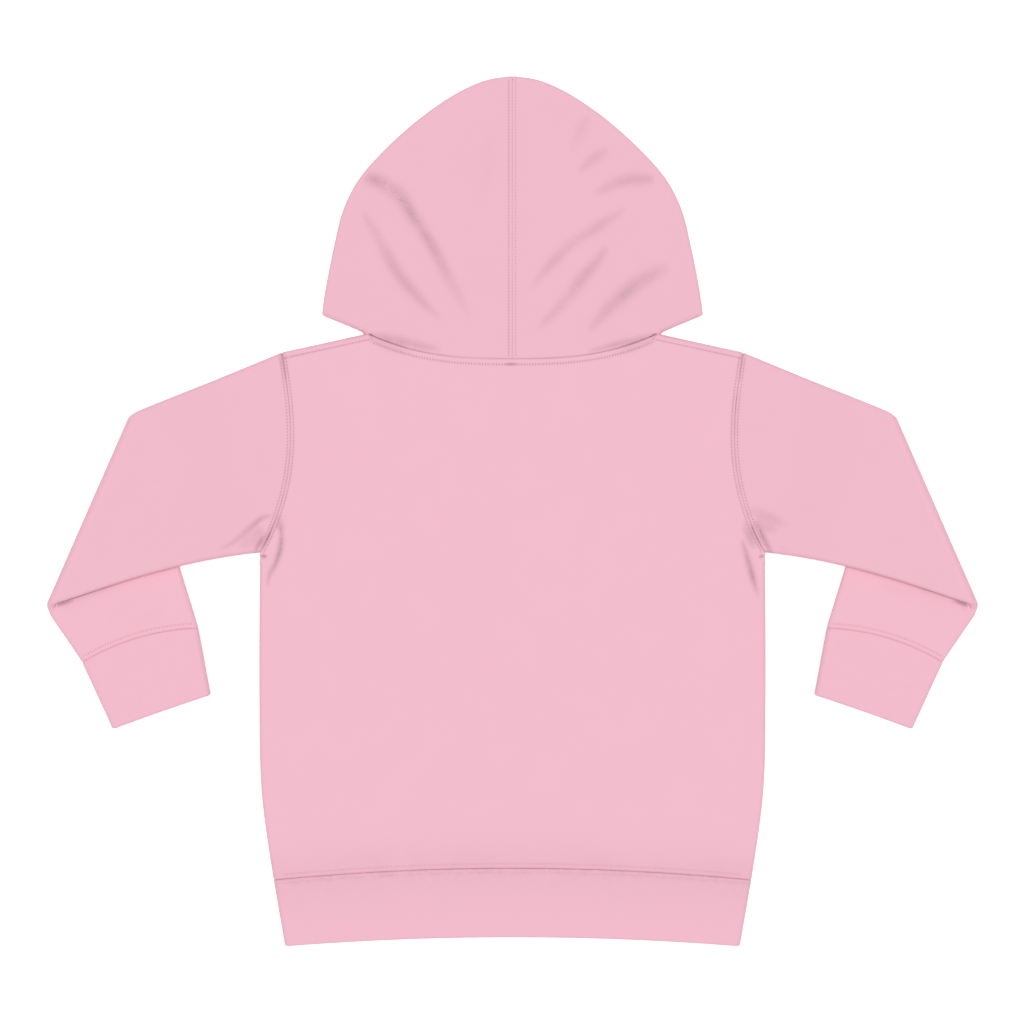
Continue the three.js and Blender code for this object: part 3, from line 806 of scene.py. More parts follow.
@dataclass
class BodyPanel:
    """The back or the front of the body: a flat panel whose rims roll to meet the other's."""

    node: str
    neck: Neckline
    facing: Facing
    relief: Relief
    columns: int
    rows: int
    area: float
    rim: Array = field(default_factory=lambda: graded(12, (0.9, 0.4, 2.0)))

    def rolled(self, gone: Array, amount: Array) -> tuple[Array, Array]:
        """Where a rim lies: flat where it meets a piece beside it, a quarter turn at a side seam.

        Args:
            gone: the share of the rim's width.
            amount: 0 for flat, 1 for rolled.

        Returns:
            How far the rim reaches, and how far it turns in.
        """
        angle = gone * np.pi / 2
        reach = lerp(CLOTH.stack / 2 * gone, CLOTH.turn * np.sin(angle), amount)
        return reach, amount * CLOTH.turn * (1 - np.cos(angle))

    def middle(self) -> Array:
        """The panel's middle.

        x is a share of the half width at the height, y goes from the hem to the neckline or the
        shoulder, and both rims end in a quarter turn towards the other panel.
        """
        rim, flat = self.rim[1:], np.ones(len(self.rim) - 1)
        across = 2 * graded(self.columns, (0.0, 0.03, 7.0), (1.0, 0.03, 7.0)) - 1
        armpit = (ARMPIT[1] - HEM_SEAM["side_y"]) / (SHOULDER_TIP[1] - HEM_SEAM["side_y"])
        up = graded(self.rows, (0.0, 0.022, 9.0), (1.0, 0.03, 7.0), (armpit, 0.06, 1.6))
        share_x = np.concatenate([-flat, across, flat])[None]
        rim_x = np.concatenate([rim[::-1], np.zeros(self.columns), rim])[None]
        share_y = np.concatenate([up, flat])[:, None]
        rim_y = np.concatenate([np.zeros(self.rows), rim])[:, None]
        half_stack = CLOTH.stack / 2
        top_half = body_half_width(np.array(SHOULDER_TIP[1] - half_stack)) - half_stack
        side_y = lerp(HEM_SEAM["side_y"], SHOULDER_TIP[1] - half_stack, share_y)
        at_side = 1 - smoothstep(side_y, ARMPIT[1] - 9, ARMPIT[1] - 1)
        side_reach, side_in = self.rolled(rim_x, at_side)
        x = share_x * (body_half_width(side_y) - half_stack) + np.sign(share_x) * side_reach
        top_x = share_x * top_half
        on_shoulder = smoothstep(np.abs(top_x), NECK_POINT[0] - 1.5, NECK_POINT[0])
        shoulder_share = (np.abs(x) - NECK_POINT[0]) / (SHOULDER_TIP[0] - NECK_POINT[0])
        shoulder_y = lerp(NECK_POINT[1], SHOULDER_TIP[1], shoulder_share)
        top_y = lerp(self.neck.y(top_x), shoulder_y, on_shoulder)
        top_reach, top_in = self.rolled(rim_y, on_shoulder)
        rise = HEM_SEAM["rise"] * (1 - share_x**2) * (1 - share_y) ** 3
        y = side_y + rise + (top_y - SHOULDER_TIP[1]) * share_y**6 + top_reach
        level = CLOTH.high if self.facing is Facing.UP else CLOTH.low
        z = level - self.facing.value * (side_in + top_in)
        plan = np.stack([x, y], axis=-1)
        if self.facing is Facing.UP:
            z = z + self.relief.raised(plan)
        return np.concatenate([plan, z[..., None]], axis=-1)

    def sunk(self, plan: Array) -> Array:
        """How far the outer face is sunk."""
        if self.facing is Facing.DOWN:
            return self.relief.sunk_beneath(plan)
        return self.relief.sunk(plan)

    def outer_height(self, plan: Array) -> Array:
        """Height of the outer face at places in plan."""
        if self.facing is Facing.DOWN:
            return self.sunk(plan)
        return CLOTH.stack + self.relief.raised(plan) - self.sunk(plan)

    def build(self, fleece: bpy.types.Material, thread: bpy.types.Material) -> bpy.types.Object:
        """Builds the panel with its stitches.

        Args:
            fleece: the cloth's material.
            thread: the thread's material.

        Returns:
            The panel.
        """
        middle = self.middle()
        plan = middle[..., :2]
        outward = np.array([0.0, 0.0, self.facing.value])
        wall = Wall(middle, outward, CLOTH.fleece, self.sunk(plan), self.relief.pressed(plan))
        piece = dress(wall.build(f"{self.node}_cloth"), self.node, fleece)
        name = f"{self.node}_stitches"
        Stitching(name, self.relief.rows, self.outer_height, self.facing).build(thread)
        return piece


@dataclass
class HoodHalf:
    """One half of the hood: folded over at its side, with the face opening on its lower layer."""

    side: Side
    sections: int = 150
    throat: float = 0.25  # the section, by its share, that ends at the front of the throat
    loft: float = 1.8
    opening_top: float = 246.0
    opening_half: float = 46.0
    corner_radius: float = 2.8

    @property
    def relief(self) -> Relief:
        """The half's seams, its row beside the centre seam, and the hood's creases."""
        centre = np.array([(0.0, 90.0), (0.0, 276.0)])
        neck = Seam(BACK_NECK.path(), shade=0.34)
        seams = (Seam(centre, width=1.1, depth=0.3, line=0.4, shade=0.14), neck)
        return Relief(seams, (CENTRE_ROWS[self.side],), HOOD_CREASES, even_darkening=0.03)

    def lower_ends(self, share: Array) -> tuple[Array, Array]:
        """Inner ends of the lower layer: along the front neckline, then up the face opening.

        Args:
            share: each section's share.

        Returns:
            The ends in plan, and how far each section bends round the neck point.
        """
        gone = np.clip(share / self.throat, 0.0, 1.0)
        rise = np.clip((share - self.throat) / (1 - self.throat), 0.0, 1.0)
        neck_x = NECK_POINT[0] * (1 - gone)
        opening_x = self.opening_half * np.sin(np.pi * rise)
        on_neck = share <= self.throat
        x = np.where(on_neck, neck_x, opening_x)
        y = np.where(on_neck, FRONT_NECK.y(neck_x), lerp(FRONT_NECK.low, self.opening_top, rise))
        bend = np.where(on_neck, (1 - gone) * np.minimum(1, 6 * gone), 0.0)
        return np.stack([x, y], axis=-1), bend

    def top_height(self, plan: Array) -> Array:
        """Height of the upper layer's middle at places in plan.

        It is lofted by smooth steps of the distance from the outline and from the neckline, less
        beside the centre seam, and carries the creases.
        """
        right = plan * (self.side.value, 1)
        outline, _ = smooth_path(HOOD_SIDE, np.linspace(0.0, 1.0, 60))
        from_side, _ = nearest(np.vstack([NECK_POINT, outline]), right, 400)
        from_neck, _ = nearest(BACK_NECK.path(), right, 400)
        ease = smoothstep(from_side, 0.0, 26.0) * smoothstep(from_neck, 0.5, 34.0)
        beside_seam = 1 - 0.5 * np.exp(-((plan[..., 0] / 9) ** 2))
        creased = smoothstep(from_side, 2.5, 9.0) * self.relief.raised(plan)
        return CLOTH.high + ease * self.loft * beside_seam + creased

    def outer_height(self, plan: Array) -> Array:
        """Height of the upper layer's outer face at places in plan."""
        return self.top_height(plan) + CLOTH.fleece / 2 - self.relief.sunk(plan)

    def surface(self) -> tuple[Array, Array, int]:
        """The half's middle as sections that fan from the neck to the side outline.

        A section starts on the lower layer, runs out to the outline, turns over by half a circle
        and comes back on top to the back neckline. Near the hood's lower edge both layers close
        by a half circle of the distance from it, and are drawn in by half the cloth's thickness.

        Returns:
            The grid of points, its outward directions, and the first column of the upper layer.
        """
        share = graded(self.sections, (0.0, 0.06, 4.0), (1.0, 0.025, 8.0))[:, None]
        edge, tangent = smooth_path(HOOD_SIDE, share[:, 0])
        inward = np.stack([-tangent[:, 1], tangent[:, 0]], axis=-1)
        to_neck = unit(np.array(NECK_POINT) - HOOD_SIDE[0])
        inward = unit(lerp(inward, to_neck, 1 - smoothstep(share, 0.0, 0.12)))
        inward[-1] = (0.0, -1.0)
        fold = edge + inward * CLOTH.stack / 2
        fold[:, 0] = np.maximum(fold[:, 0], 0.0)
        neck_x = NECK_POINT[0] * (1 - share[:, 0])
        upper_end = np.stack([neck_x, BACK_NECK.y(neck_x)], axis=-1)
        lower_end, bend = self.lower_ends(share[:, 0])

        t = np.linspace(0.0, 0.985, 30)[None, :, None]
        start, stop = lower_end[:, None], fold[:, None]
        round_neck = np.stack([lower_end[:, 0] + 2, np.full(len(neck_x), NECK_POINT[1] + 7)], -1)
        control = lerp((start + stop) / 2, round_neck[:, None], bend[:, None, None])
        lower = (1 - t) ** 2 * start + 2 * t * (1 - t) * control + t**2 * stop
        lower = np.concatenate([lower, np.full(lower.shape[:2] + (1,), CLOTH.low)], axis=-1)

        angle = np.radians(np.linspace(-75.0, 75.0, 11))[None, :, None]
        turn = fold[:, None] - inward[:, None] * CLOTH.turn * np.cos(angle)
        turn_z = CLOTH.stack / 2 + CLOTH.turn * np.sin(angle) + np.zeros_like(turn[..., :1])
        turn = np.concatenate([turn, turn_z], axis=-1)

        gone = graded(118, (0.0, 0.03, 2.0), (1.0, 0.04, 5.0))[None, :, None]
        plan = lerp(fold[:, None], upper_end[:, None], gone)
        height = self.top_height(plan * (self.side.value, 1))
        upper = np.concatenate([plan, height[..., None]], axis=-1)

        middle = np.concatenate([lower, turn, upper], axis=1)
        lower_edge = np.stack([NECK_POINT, HOOD_SIDE[0]])
        from_edge, _ = nearest(lower_edge, middle, 4 * self.corner_radius)
        way = unit(HOOD_SIDE[0] - NECK_POINT)
        from_neck = np.linalg.norm(middle[..., :2] - NECK_POINT, axis=-1)
        drawn = CLOTH.fleece / 2 * np.exp(-((from_edge / 5) ** 2)) * smoothstep(from_neck, 0, 3)
        near = np.clip(from_edge / self.corner_radius, 0.0, 1.0)
        middle[..., :2] += drawn[..., None] * (-way[1], way[0])
        closed = np.maximum(np.sqrt(1 - (1 - near) ** 2), 0.12)
        middle[..., 2] = lerp(CLOTH.stack / 2, middle[..., 2], closed)
        first = lower.shape[1] + turn.shape[1]
        outward = np.zeros_like(middle)
        outward[:, : lower.shape[1], 2] = -1.0
        outward[:, first:, 2] = 1.0
        return middle * (self.side.value, 1, 1), outward, first

    def build(self, fleece: bpy.types.Material, thread: bpy.types.Material) -> bpy.types.Object:
        """Builds the half with its stitches.

        Args:
            fleece: the cloth's material.
            thread: the thread's material.

        Returns:
            The half.
        """
        middle, outward, first = self.surface()
        over, copies = self.relief, tuple(under_copy(crease) for crease in HOOD_CREASES)
        under = Relief((Seam(FRONT_NECK.path()), over.seams[0]), creases=copies)
        lower, upper = middle[:, :first, :2], middle[:, first:, :2]
        sunk = np.concatenate([under.sunk_beneath(lower), over.sunk(upper)], axis=1)
        pressed = np.concatenate([under.pressed(lower), over.pressed(upper)], axis=1)
        node = f"hood_{self.side.name.lower()}"
        wall = Wall(middle, outward, CLOTH.fleece, sunk, pressed, centre_seam=True)
        piece = dress(wall.build(f"{node}_cloth"), node, fleece)
        Stitching(f"{node}_stitches", self.relief.rows, self.outer_height).build(thread)
        return piece


@dataclass
class FlatTube:
    """A tube of cloth pressed flat: two layers joined along both edges by half circles."""

    wall: float
    flat_shares: Array
    arc_points: int = 9

    @property
    def radius(self) -> float:
        """Radius of the cloth's middle where the layers join."""
        return (self.wall + CLOTH.air) / 2

    def places(self) -> tuple[Array, Array, Array]:
        """The stations round the tube.

        Returns:
            The share across, how far past the flat part in radii, and the height in radii.
        """
        flat = self.flat_shares
        angle = np.radians(np.linspace(-78.0, 78.0, self.arc_points))
        ones, arc = np.ones_like(flat), np.ones_like(angle)
        share = np.concatenate([flat, arc, flat[::-1], 0 * arc])
        past = np.concatenate([0 * flat, np.cos(angle[::-1]), 0 * flat, -np.cos(angle)])
        up = np.concatenate([ones, np.sin(angle[::-1]), -ones, np.sin(angle)])
        return share, past, up

    def rings(
        self,
        curve: Callable,
        along: Array,
        height: Callable,
        normal: Array,
        lifted: Callable | None = None,
    ) -> tuple[Array, Array]:
        """Rings of the tube's middle, one for each station along it.

        A ring follows its curve in plan. Each point stands off it by the ring's radius times its
        own height, along the normal, and past the flat part's end along the curve's own way.

        Args:
            curve: places in plan from a station along and a share across.
            along: the stations, as a column.
            height: the height of the tube's middle from places in plan.
            normal: the way that each ring's top layer faces, one row a ring.
            lifted: what is added to the top layer at places in plan.

        Returns:
            The grid of points, and its outward directions.
        """
        share, past, up = self.places()
        zero, one = np.zeros((1, 1)), np.ones((1, 1))
        start, end = curve(along, zero), curve(along, one)
        inset = (self.radius + self.wall / 2) / np.linalg.norm(end - start, axis=-1)
        start_way = unit(curve(along, inset) - start)
        end_way = unit(end - curve(along, 1 - inset))
        plan = curve(along, inset + (1 - 2 * inset) * share[None])
        z = height(plan)
        if lifted is not None:
            z = z + lifted(plan) * np.maximum(up, 0.0)
        way = np.where(past[None, :, None] < 0, start_way, end_way)
        plan = plan + way * past[:, None] * self.radius
        normal = np.broadcast_to(normal[:, None], plan.shape[:2] + (3,))
        points = np.concatenate([plan, z[..., None]], axis=-1) + normal * up[:, None] * self.radius
        return points, normal * up[:, None]


@dataclass
class Sleeve:
    """A sleeve that is folded under along a slanting line at the elbow."""

    side: Side
    fold_top: tuple[float, float] = (233.1, 63.6)
    fold_bottom: tuple[float, float] = ELBOW
    top_slide: float = 11.3
    bottom_slide: float = 9.9
    top_round: float = 1.0
    lift_from: float = -56.0
    lift_to: float = -4.0
    tube: FlatTube = field(
        default_factory=lambda: FlatTube(CLOTH.fleece, graded(78, (1.0, 0.2, 2.0)))
    )

    @property
    def lift(self) -> float:
        """How far the upper arm rides up over the forearm."""
        return CLOTH.stack + CLOTH.air

    @property
    def upper_relief(self) -> Relief:
        """Seam, row and creases of the upper arm."""
        left = self.side is Side.LEFT
        row = mirrored_row(ARMHOLE_SLEEVE_ROW) if left else ARMHOLE_SLEEVE_ROW
        creases = LEFT_ARMPIT_CREASES if left else RIGHT_ARMPIT_CREASES
        seams = (Seam(armhole_path(self.side)),)
        return Relief(seams, (row,), creases + SHOULDER_CREASES + ELBOW_CREASES, even_darkening=0.03)

    @property
    def lower_relief(self) -> Relief:
        """Seam, row and creases of the forearm."""
        row = mirrored_row(CUFF_ROW) if self.side is Side.LEFT else CUFF_ROW
        # Painted shade on the forearm beside the upper arm's edge, a seam of no depth
        under_edge = Seam(underarm_path(self.side), depth=0.0, line=1.8, shade=0.12)
        seams = (Seam(cuff_seam_path(self.side), depth=0.4, line=0.4, shade=0.12), under_edge)
        return Relief(seams, (row,), FOREARM_CREASES + ELBOW_CREASES)

    def fold_line(self, top: Array, bottom: Array, out: Array, share: Array) -> Array:
        """Places on the fold line, whose ends slide along it and which moves outwards."""
        first, last = np.array(self.fold_top), np.array(self.fold_bottom)
        way = unit(last - first)
        outward = np.array([-way[1], way[0]])
        start = first + way * top[..., None]
        end = last + way * bottom[..., None]
        return lerp(start, end, share[..., None]) + outward * out[..., None]

    def upper_height(self, plan: Array) -> Array:
        """Height of the upper arm's middle, which climbs on the way to the forearm's edge."""
        start = np.array(self.fold_top)
        way = unit(np.array(CUFF_SEAM["inner"]) - start)
        right = np.abs(plan[..., 0])
        past = way[0] * (plan[..., 1] - start[1]) - way[1] * (right - start[0])
        return CLOTH.stack / 2 + self.lift * smoothstep(past, self.lift_from, self.lift_to)

    def upper_arm(self) -> tuple[Array, Array]:
        """Rings from the armhole to the fold, on straight lines with a bowed underarm."""
        along = (np.linspace(0.0, 1.0, 80) ** 1.5)[:, None]

        def curve(gone: Array, share: Array) -> Array:
            """Places between the armhole and the fold line."""
            gone, share = np.broadcast_arrays(gone, share)
            y = lerp(SHOULDER_TIP[1], ARMPIT[1], share)
            armhole = np.stack([body_half_width(y), y], axis=-1)
            zero = np.zeros_like(share)
            line = self.fold_line(zero, zero, zero, share)
            places = lerp(armhole, line, gone[..., None])
            places[..., 1] += UNDERARM_BOW * underarm(gone) * share**2
            return places

        def lifted(plan: Array) -> Array:
            """The creases at the armpit."""
            return self.upper_relief.raised(plan * (self.side.value, 1))

        up = np.tile([0.0, 0.0, 1.0], (len(along), 1))
        return self.tube.rings(curve, along, self.upper_height, up, lifted)

    def turn_over(self) -> tuple[Array, Array]:
        """Rings round the fold, by half a circle about a line between the two arms' heights."""
        angle = np.linspace(0.0, np.pi, 24)[1:, None]
        radius = self.lift / 2

        def curve(turn: Array, share: Array) -> Array:
            """Places on the fold line as it goes round."""
            turn, share = np.broadcast_arrays(turn, share)
            gone = turn / np.pi
            top = self.top_slide * gone + self.top_round * np.sin(turn) ** 2
            return self.fold_line(top, self.bottom_slide * gone, radius * np.sin(turn), share)

        def height(plan: Array) -> Array:
            """Height of the ring's middle, the same all along it."""
            return CLOTH.stack / 2 + radius * (1 + np.cos(angle)) + 0 * plan[..., 0]

        way = unit(np.array(self.fold_bottom) - np.array(self.fold_top))
        flat = np.stack([-way[1] * np.sin(angle), way[0] * np.sin(angle), np.cos(angle)], -1)
        return self.tube.rings(curve, angle, height, flat[:, 0])

    def forearm(self) -> tuple[Array, Array]:
        """Rings beneath the upper arm, from the fold to the cuff's bowed seam.

        The tube is turned over here, so what lies on top is its lower layer.
        """
        along = 1 - (np.linspace(1.0, 0.0, 90)[1:, None]) ** 1.5
        seam = bowed(CUFF_SEAM["inner"], CUFF_SEAM["outer"], CUFF_SEAM["bow"])

        def curve(gone: Array, share: Array) -> Array:
            """Places between the fold line and the cuff seam."""
            gone, share = np.broadcast_arrays(gone, share)
            zero = np.zeros_like(share)
            line = self.fold_line(zero + self.top_slide, zero + self.bottom_slide, zero, share)
            return lerp(line, seam(share), gone[..., None])

        def height(plan: Array) -> Array:
            """Height of the middle, flat on the surface."""
            return np.full(plan.shape[:-1], CLOTH.stack / 2)

        down = np.tile([0.0, 0.0, -1.0], (len(along), 1))
        points, outward = self.tube.rings(curve, along, height, down)
        on_top = np.maximum(outward[..., 2], 0.0)
        raised = self.lower_relief.raised(points[..., :2] * (self.side.value, 1))
        points[..., 2] += raised * on_top
        return points, outward

    def edge_painted_shadow(self, middle: Array) -> Array:
        """Painted shadow: a dark line along the edge that lies on the forearm.

        It is a smooth step round the edge's half circle, and grows towards the elbow.

        Args:
            middle: the upper arm's grid of points.

        Returns:
            How far the painted shadow darkens the colour, from 0 to 1.
        """
        _, past, up = self.tube.places()
        right = np.abs(middle[..., 0])
        grows = smoothstep(right, 203.0, 222.0) * smoothstep(right, 228.0, 281.0)
        return grows * (past > 0) * smoothstep(1 - up, 0.25, 0.95)

    def upper_outer_height(self, plan: Array) -> Array:
        """Height of the upper arm's outer face at places in plan."""
        middle = self.upper_height(plan) + self.tube.radius + self.upper_relief.raised(plan)
        return middle + CLOTH.fleece / 2 - self.upper_relief.sunk(plan)

    def lower_outer_height(self, plan: Array) -> Array:
        """Height of the forearm's outer face at places in plan."""
        return CLOTH.stack + self.lower_relief.raised(plan) - self.lower_relief.sunk(plan)

    def build(self, fleece: bpy.types.Material, thread: bpy.types.Material) -> bpy.types.Object:
        """Builds the sleeve with its stitches, all round.

        Args:
            fleece: the cloth's material.
            thread: the thread's material.

        Returns:
            The sleeve.
        """
        parts = [self.upper_arm(), self.turn_over(), self.forearm()]
        mirror = (self.side.value, 1, 1)
        middle = np.concatenate([p[0] for p in parts]) * mirror
        outward = np.concatenate([p[1] for p in parts]) * mirror
        sunk = np.zeros(middle.shape[:2])
        pressed = np.zeros(middle.shape[:2])
        upper, lower = np.s_[: len(parts[0][0])], np.s_[-len(parts[2][0]) :]
        folds = RIGHT_ARMPIT_CREASES if self.side is Side.LEFT else LEFT_ARMPIT_CREASES
        copies = tuple(under_copy(crease) for crease in folds + FOREARM_CREASES)
        for part, relief in ((upper, self.upper_relief), (lower, self.lower_relief)):
            plan, on_top = middle[part][..., :2], outward[part][..., 2] > 0
            beneath = Relief(relief.seams[:1], creases=copies)
            sunk[part] = np.where(on_top, relief.sunk(plan), beneath.sunk_beneath(plan))
            pressed[part] = np.where(on_top, relief.pressed(plan), beneath.pressed(plan))
        # The painted shadow along the upper arm's edge where it lies over the forearm.
        pressed[upper] = np.maximum(pressed[upper], self.edge_painted_shadow(middle[upper]))
        node = f"sleeve_{self.side.name.lower()}"
        wall = Wall(middle, outward, CLOTH.fleece, sunk, pressed, round=True)
        piece = dress(wall.build(f"{node}_cloth"), node, fleece)
        armhole, cuff = f"{node}_armhole_stitches", f"{node}_cuff_stitches"
        Stitching(armhole, self.upper_relief.rows, self.upper_outer_height).build(thread)
        Stitching(cuff, self.lower_relief.rows, self.lower_outer_height).build(thread)
        return piece


@dataclass
class RibBand:
    """A band of rib knit, folded double at its free edge, in a flat tube."""

    node: str
    seam: Callable
    edge: Callable
    flat: tuple[float, float]
    area: float
    side: int = 1
    allowance: float = 0.0
    # a broad painted shade below the seam, fading by an exponential of the distance over its reach
    broad_seam_shade: float = 0.0
    broad_shade_reach: float = 14.0
    rib_pitch: float = 1.8
    rib_raise: float = 0.1
    edge_radius: float = 1.4
    rows: int = 24

    def build(self, rib: bpy.types.Material) -> bpy.types.Object:
        """Builds the band with its ribs in the outer face, all round.

        The ribs stand out by a cosine of the share across. The free edge is rounded by a quarter
        circle on both faces, and the seam is half a groove. The colour is darkened in a line at the
        seam, partly its dark joint and partly painted shade in its groove, in a faint line where the
        seam allowance ends, and by a broad painted shade that fades below the seam where one is
        given.

        Args:
            rib: the rib knit's material.

        Returns:
            The band.
        """
        width = np.linalg.norm(self.seam(1.0) - self.seam(0.0))
        ribs = round(width / self.rib_pitch)
        tube = FlatTube(CLOTH.rib, np.linspace(0.0, 1.0, 4 * ribs + 1))
        along = graded(self.rows, (0.0, 0.08, 6.0), (1.0, 0.08, 5.0))[:, None]

        def curve(gone: Array, share: Array) -> Array:
            """Places between the seam and the free edge."""
            gone, share = np.broadcast_arrays(gone, share)
            return lerp(self.seam(share), self.edge(share), gone[..., None])

        def height(plan: Array) -> Array:
            """Height of the band's middle."""
            return np.full(plan.shape[:-1], CLOTH.rib + CLOTH.air / 2)

        up = np.tile([0.0, 0.0, 1.0], (len(along), 1))
        middle, outward = tube.rings(curve, along, height, up)
        share, past, _ = tube.places()
        ribbed = self.rib_raise * (0.5 - 0.5 * np.cos(2 * np.pi * ribs * share)) * (past == 0)
        from_seam = along * np.linalg.norm(self.seam(0.5) - self.edge(0.5))
        to_edge = np.clip((from_seam[-1] - from_seam) / self.edge_radius, 0.0, 1.0)
        rounded = self.edge_radius * (1 - np.sqrt(1 - (1 - to_edge) ** 2))
        grooved = 0.4 * np.clip(1 - from_seam / 1.5, 0.0, 1.0) ** 2
        fade = smoothstep(from_seam, 0.2, 2.0) * smoothstep(from_seam[-1] - from_seam, 0.2, 1.6)
        sunk = np.minimum(rounded + grooved, 1.4) + ribbed * fade
        # The seam's dark line, partly dark joint and partly painted shade in its groove.
        pressed = 0.24 * np.exp(-((from_seam / 0.42) ** 2))
        pressed += self.allowance * np.exp(-(((from_seam - 2.4) / 0.6) ** 2))
        # The broad painted shade below the seam.
        pressed += self.broad_seam_shade * np.exp(-from_seam / self.broad_shade_reach)
        mirror = (self.side, 1, 1)
        wall = Wall(
            middle * mirror,
            outward * mirror,
            CLOTH.rib,
            sunk=sunk,
            pressed=pressed,
            sunk_inside=rounded,
            round=True,
        )
        piece = dress(wall.build(f"{self.node}_cloth"), self.node, rib)
        return piece


def nap_group() -> bpy.types.NodeTree:
    """Brushed nap as a shader node group.

    Fine noise makes the fibres, a coarser one the patches where the nap lies another way. Painted
    shade is broken up by the same mottle, as the painted shade times (5 mottle - 1.5).

    Returns:
        A group that puts out a mottle from 0 to 1, the share of painted shade and a height.
    """
    group = bpy.data.node_groups.new("brushed nap", "ShaderNodeTree")
    face = group.interface
    face.new_socket("Place", in_out="INPUT", socket_type="NodeSocketVector")
    face.new_socket("Fibre scale", in_out="INPUT", socket_type="NodeSocketFloat")
    face.new_socket("Patch scale", in_out="INPUT", socket_type="NodeSocketFloat")
    face.new_socket("Pressed", in_out="INPUT", socket_type="NodeSocketFloat")
    face.new_socket("Mottle", in_out="OUTPUT", socket_type="NodeSocketFloat")
    face.new_socket("Painted shading", in_out="OUTPUT", socket_type="NodeSocketFloat")
    face.new_socket("Height", in_out="OUTPUT", socket_type="NodeSocketFloat")
    nodes, links = group.nodes, group.links
    came, goes = nodes.new("NodeGroupInput"), nodes.new("NodeGroupOutput")
    fine, coarse = nodes.new("ShaderNodeTexNoise"), nodes.new("ShaderNodeTexNoise")
    fine.inputs["Detail"].default_value = 4.0
    fine.inputs["Roughness"].default_value = 0.65
    coarse.inputs["Detail"].default_value = 3.0
    weighed, mottle = nodes.new("ShaderNodeMath"), nodes.new("ShaderNodeMath")
    weighed.operation, mottle.operation = "MULTIPLY", "MULTIPLY_ADD"
    weighed.inputs[1].default_value = 0.45
    mottle.inputs[1].default_value = 0.55
    links.new(came.outputs["Place"], fine.inputs["Vector"])
    links.new(came.outputs["Place"], coarse.inputs["Vector"])
    links.new(came.outputs["Fibre scale"], fine.inputs["Scale"])
    links.new(came.outputs["Patch scale"], coarse.inputs["Scale"])
    links.new(coarse.outputs["Fac"], weighed.inputs[0])
    links.new(fine.outputs["Fac"], mottle.inputs[0])
    links.new(weighed.outputs[0], mottle.inputs[2])
    # Painted shade, broken up by the mottle.
    grain, painted_shading = nodes.new("ShaderNodeMath"), nodes.new("ShaderNodeMath")
    grain.operation, painted_shading.operation = "MULTIPLY_ADD", "MULTIPLY"
    grain.inputs[1].default_value = 5.0
    grain.inputs[2].default_value = -1.5
    painted_shading.use_clamp = True
    links.new(mottle.outputs[0], grain.inputs[0])
    links.new(grain.outputs[0], painted_shading.inputs[0])
    links.new(came.outputs["Pressed"], painted_shading.inputs[1])
    links.new(painted_shading.outputs[0], goes.inputs["Painted shading"])
    links.new(mottle.outputs[0], goes.inputs["Mottle"])
    links.new(fine.outputs["Fac"], goes.inputs["Height"])
    return group


def knit_group() -> bpy.types.NodeTree:
    """Knit columns as a shader node group.

    A sine across the cloth makes the columns and one along it the loops in each, on the piece's
    own lengths in the cloth, in metres.

    Returns:
        A group that puts out a height from 0 to 1.
    """
    group = bpy.data.node_groups.new("knit loops", "ShaderNodeTree")
    face = group.interface
    face.new_socket("Cloth", in_out="INPUT", socket_type="NodeSocketVector")
    face.new_socket("Gauge", in_out="INPUT", socket_type="NodeSocketFloat")
    face.new_socket("Height", in_out="OUTPUT", socket_type="NodeSocketFloat")
    nodes, links = group.nodes, group.links
    came, goes = nodes.new("NodeGroupInput"), nodes.new("NodeGroupOutput")
    split, turns = nodes.new("ShaderNodeSeparateXYZ"), nodes.new("ShaderNodeMath")
    turns.operation = "DIVIDE"
    turns.inputs[0].default_value = 2000 * math.pi
    links.new(came.outputs["Gauge"], turns.inputs[1])
    links.new(came.outputs["Cloth"], split.inputs[0])
    waves = []
    for axis in ("X", "Y"):
        scaled, wave = nodes.new("ShaderNodeMath"), nodes.new("ShaderNodeMath")
        scaled.operation, wave.operation = "MULTIPLY", "SINE"
        links.new(split.outputs[axis], scaled.inputs[0])
        links.new(turns.outputs[0], scaled.inputs[1])
        links.new(scaled.outputs[0], wave.inputs[0])
        waves.append(wave)
    both, even = nodes.new("ShaderNodeMath"), nodes.new("ShaderNodeMath")
    both.operation = even.operation = "MULTIPLY_ADD"
    both.inputs[1].default_value = 0.35
    even.inputs[1].default_value = 0.37
    even.inputs[2].default_value = 0.5
    links.new(waves[1].outputs[0], both.inputs[0])
    links.new(waves[0].outputs[0], both.inputs[2])
    links.new(both.outputs[0], even.inputs[0])
    links.new(even.outputs[0], goes.inputs["Height"])
    return group


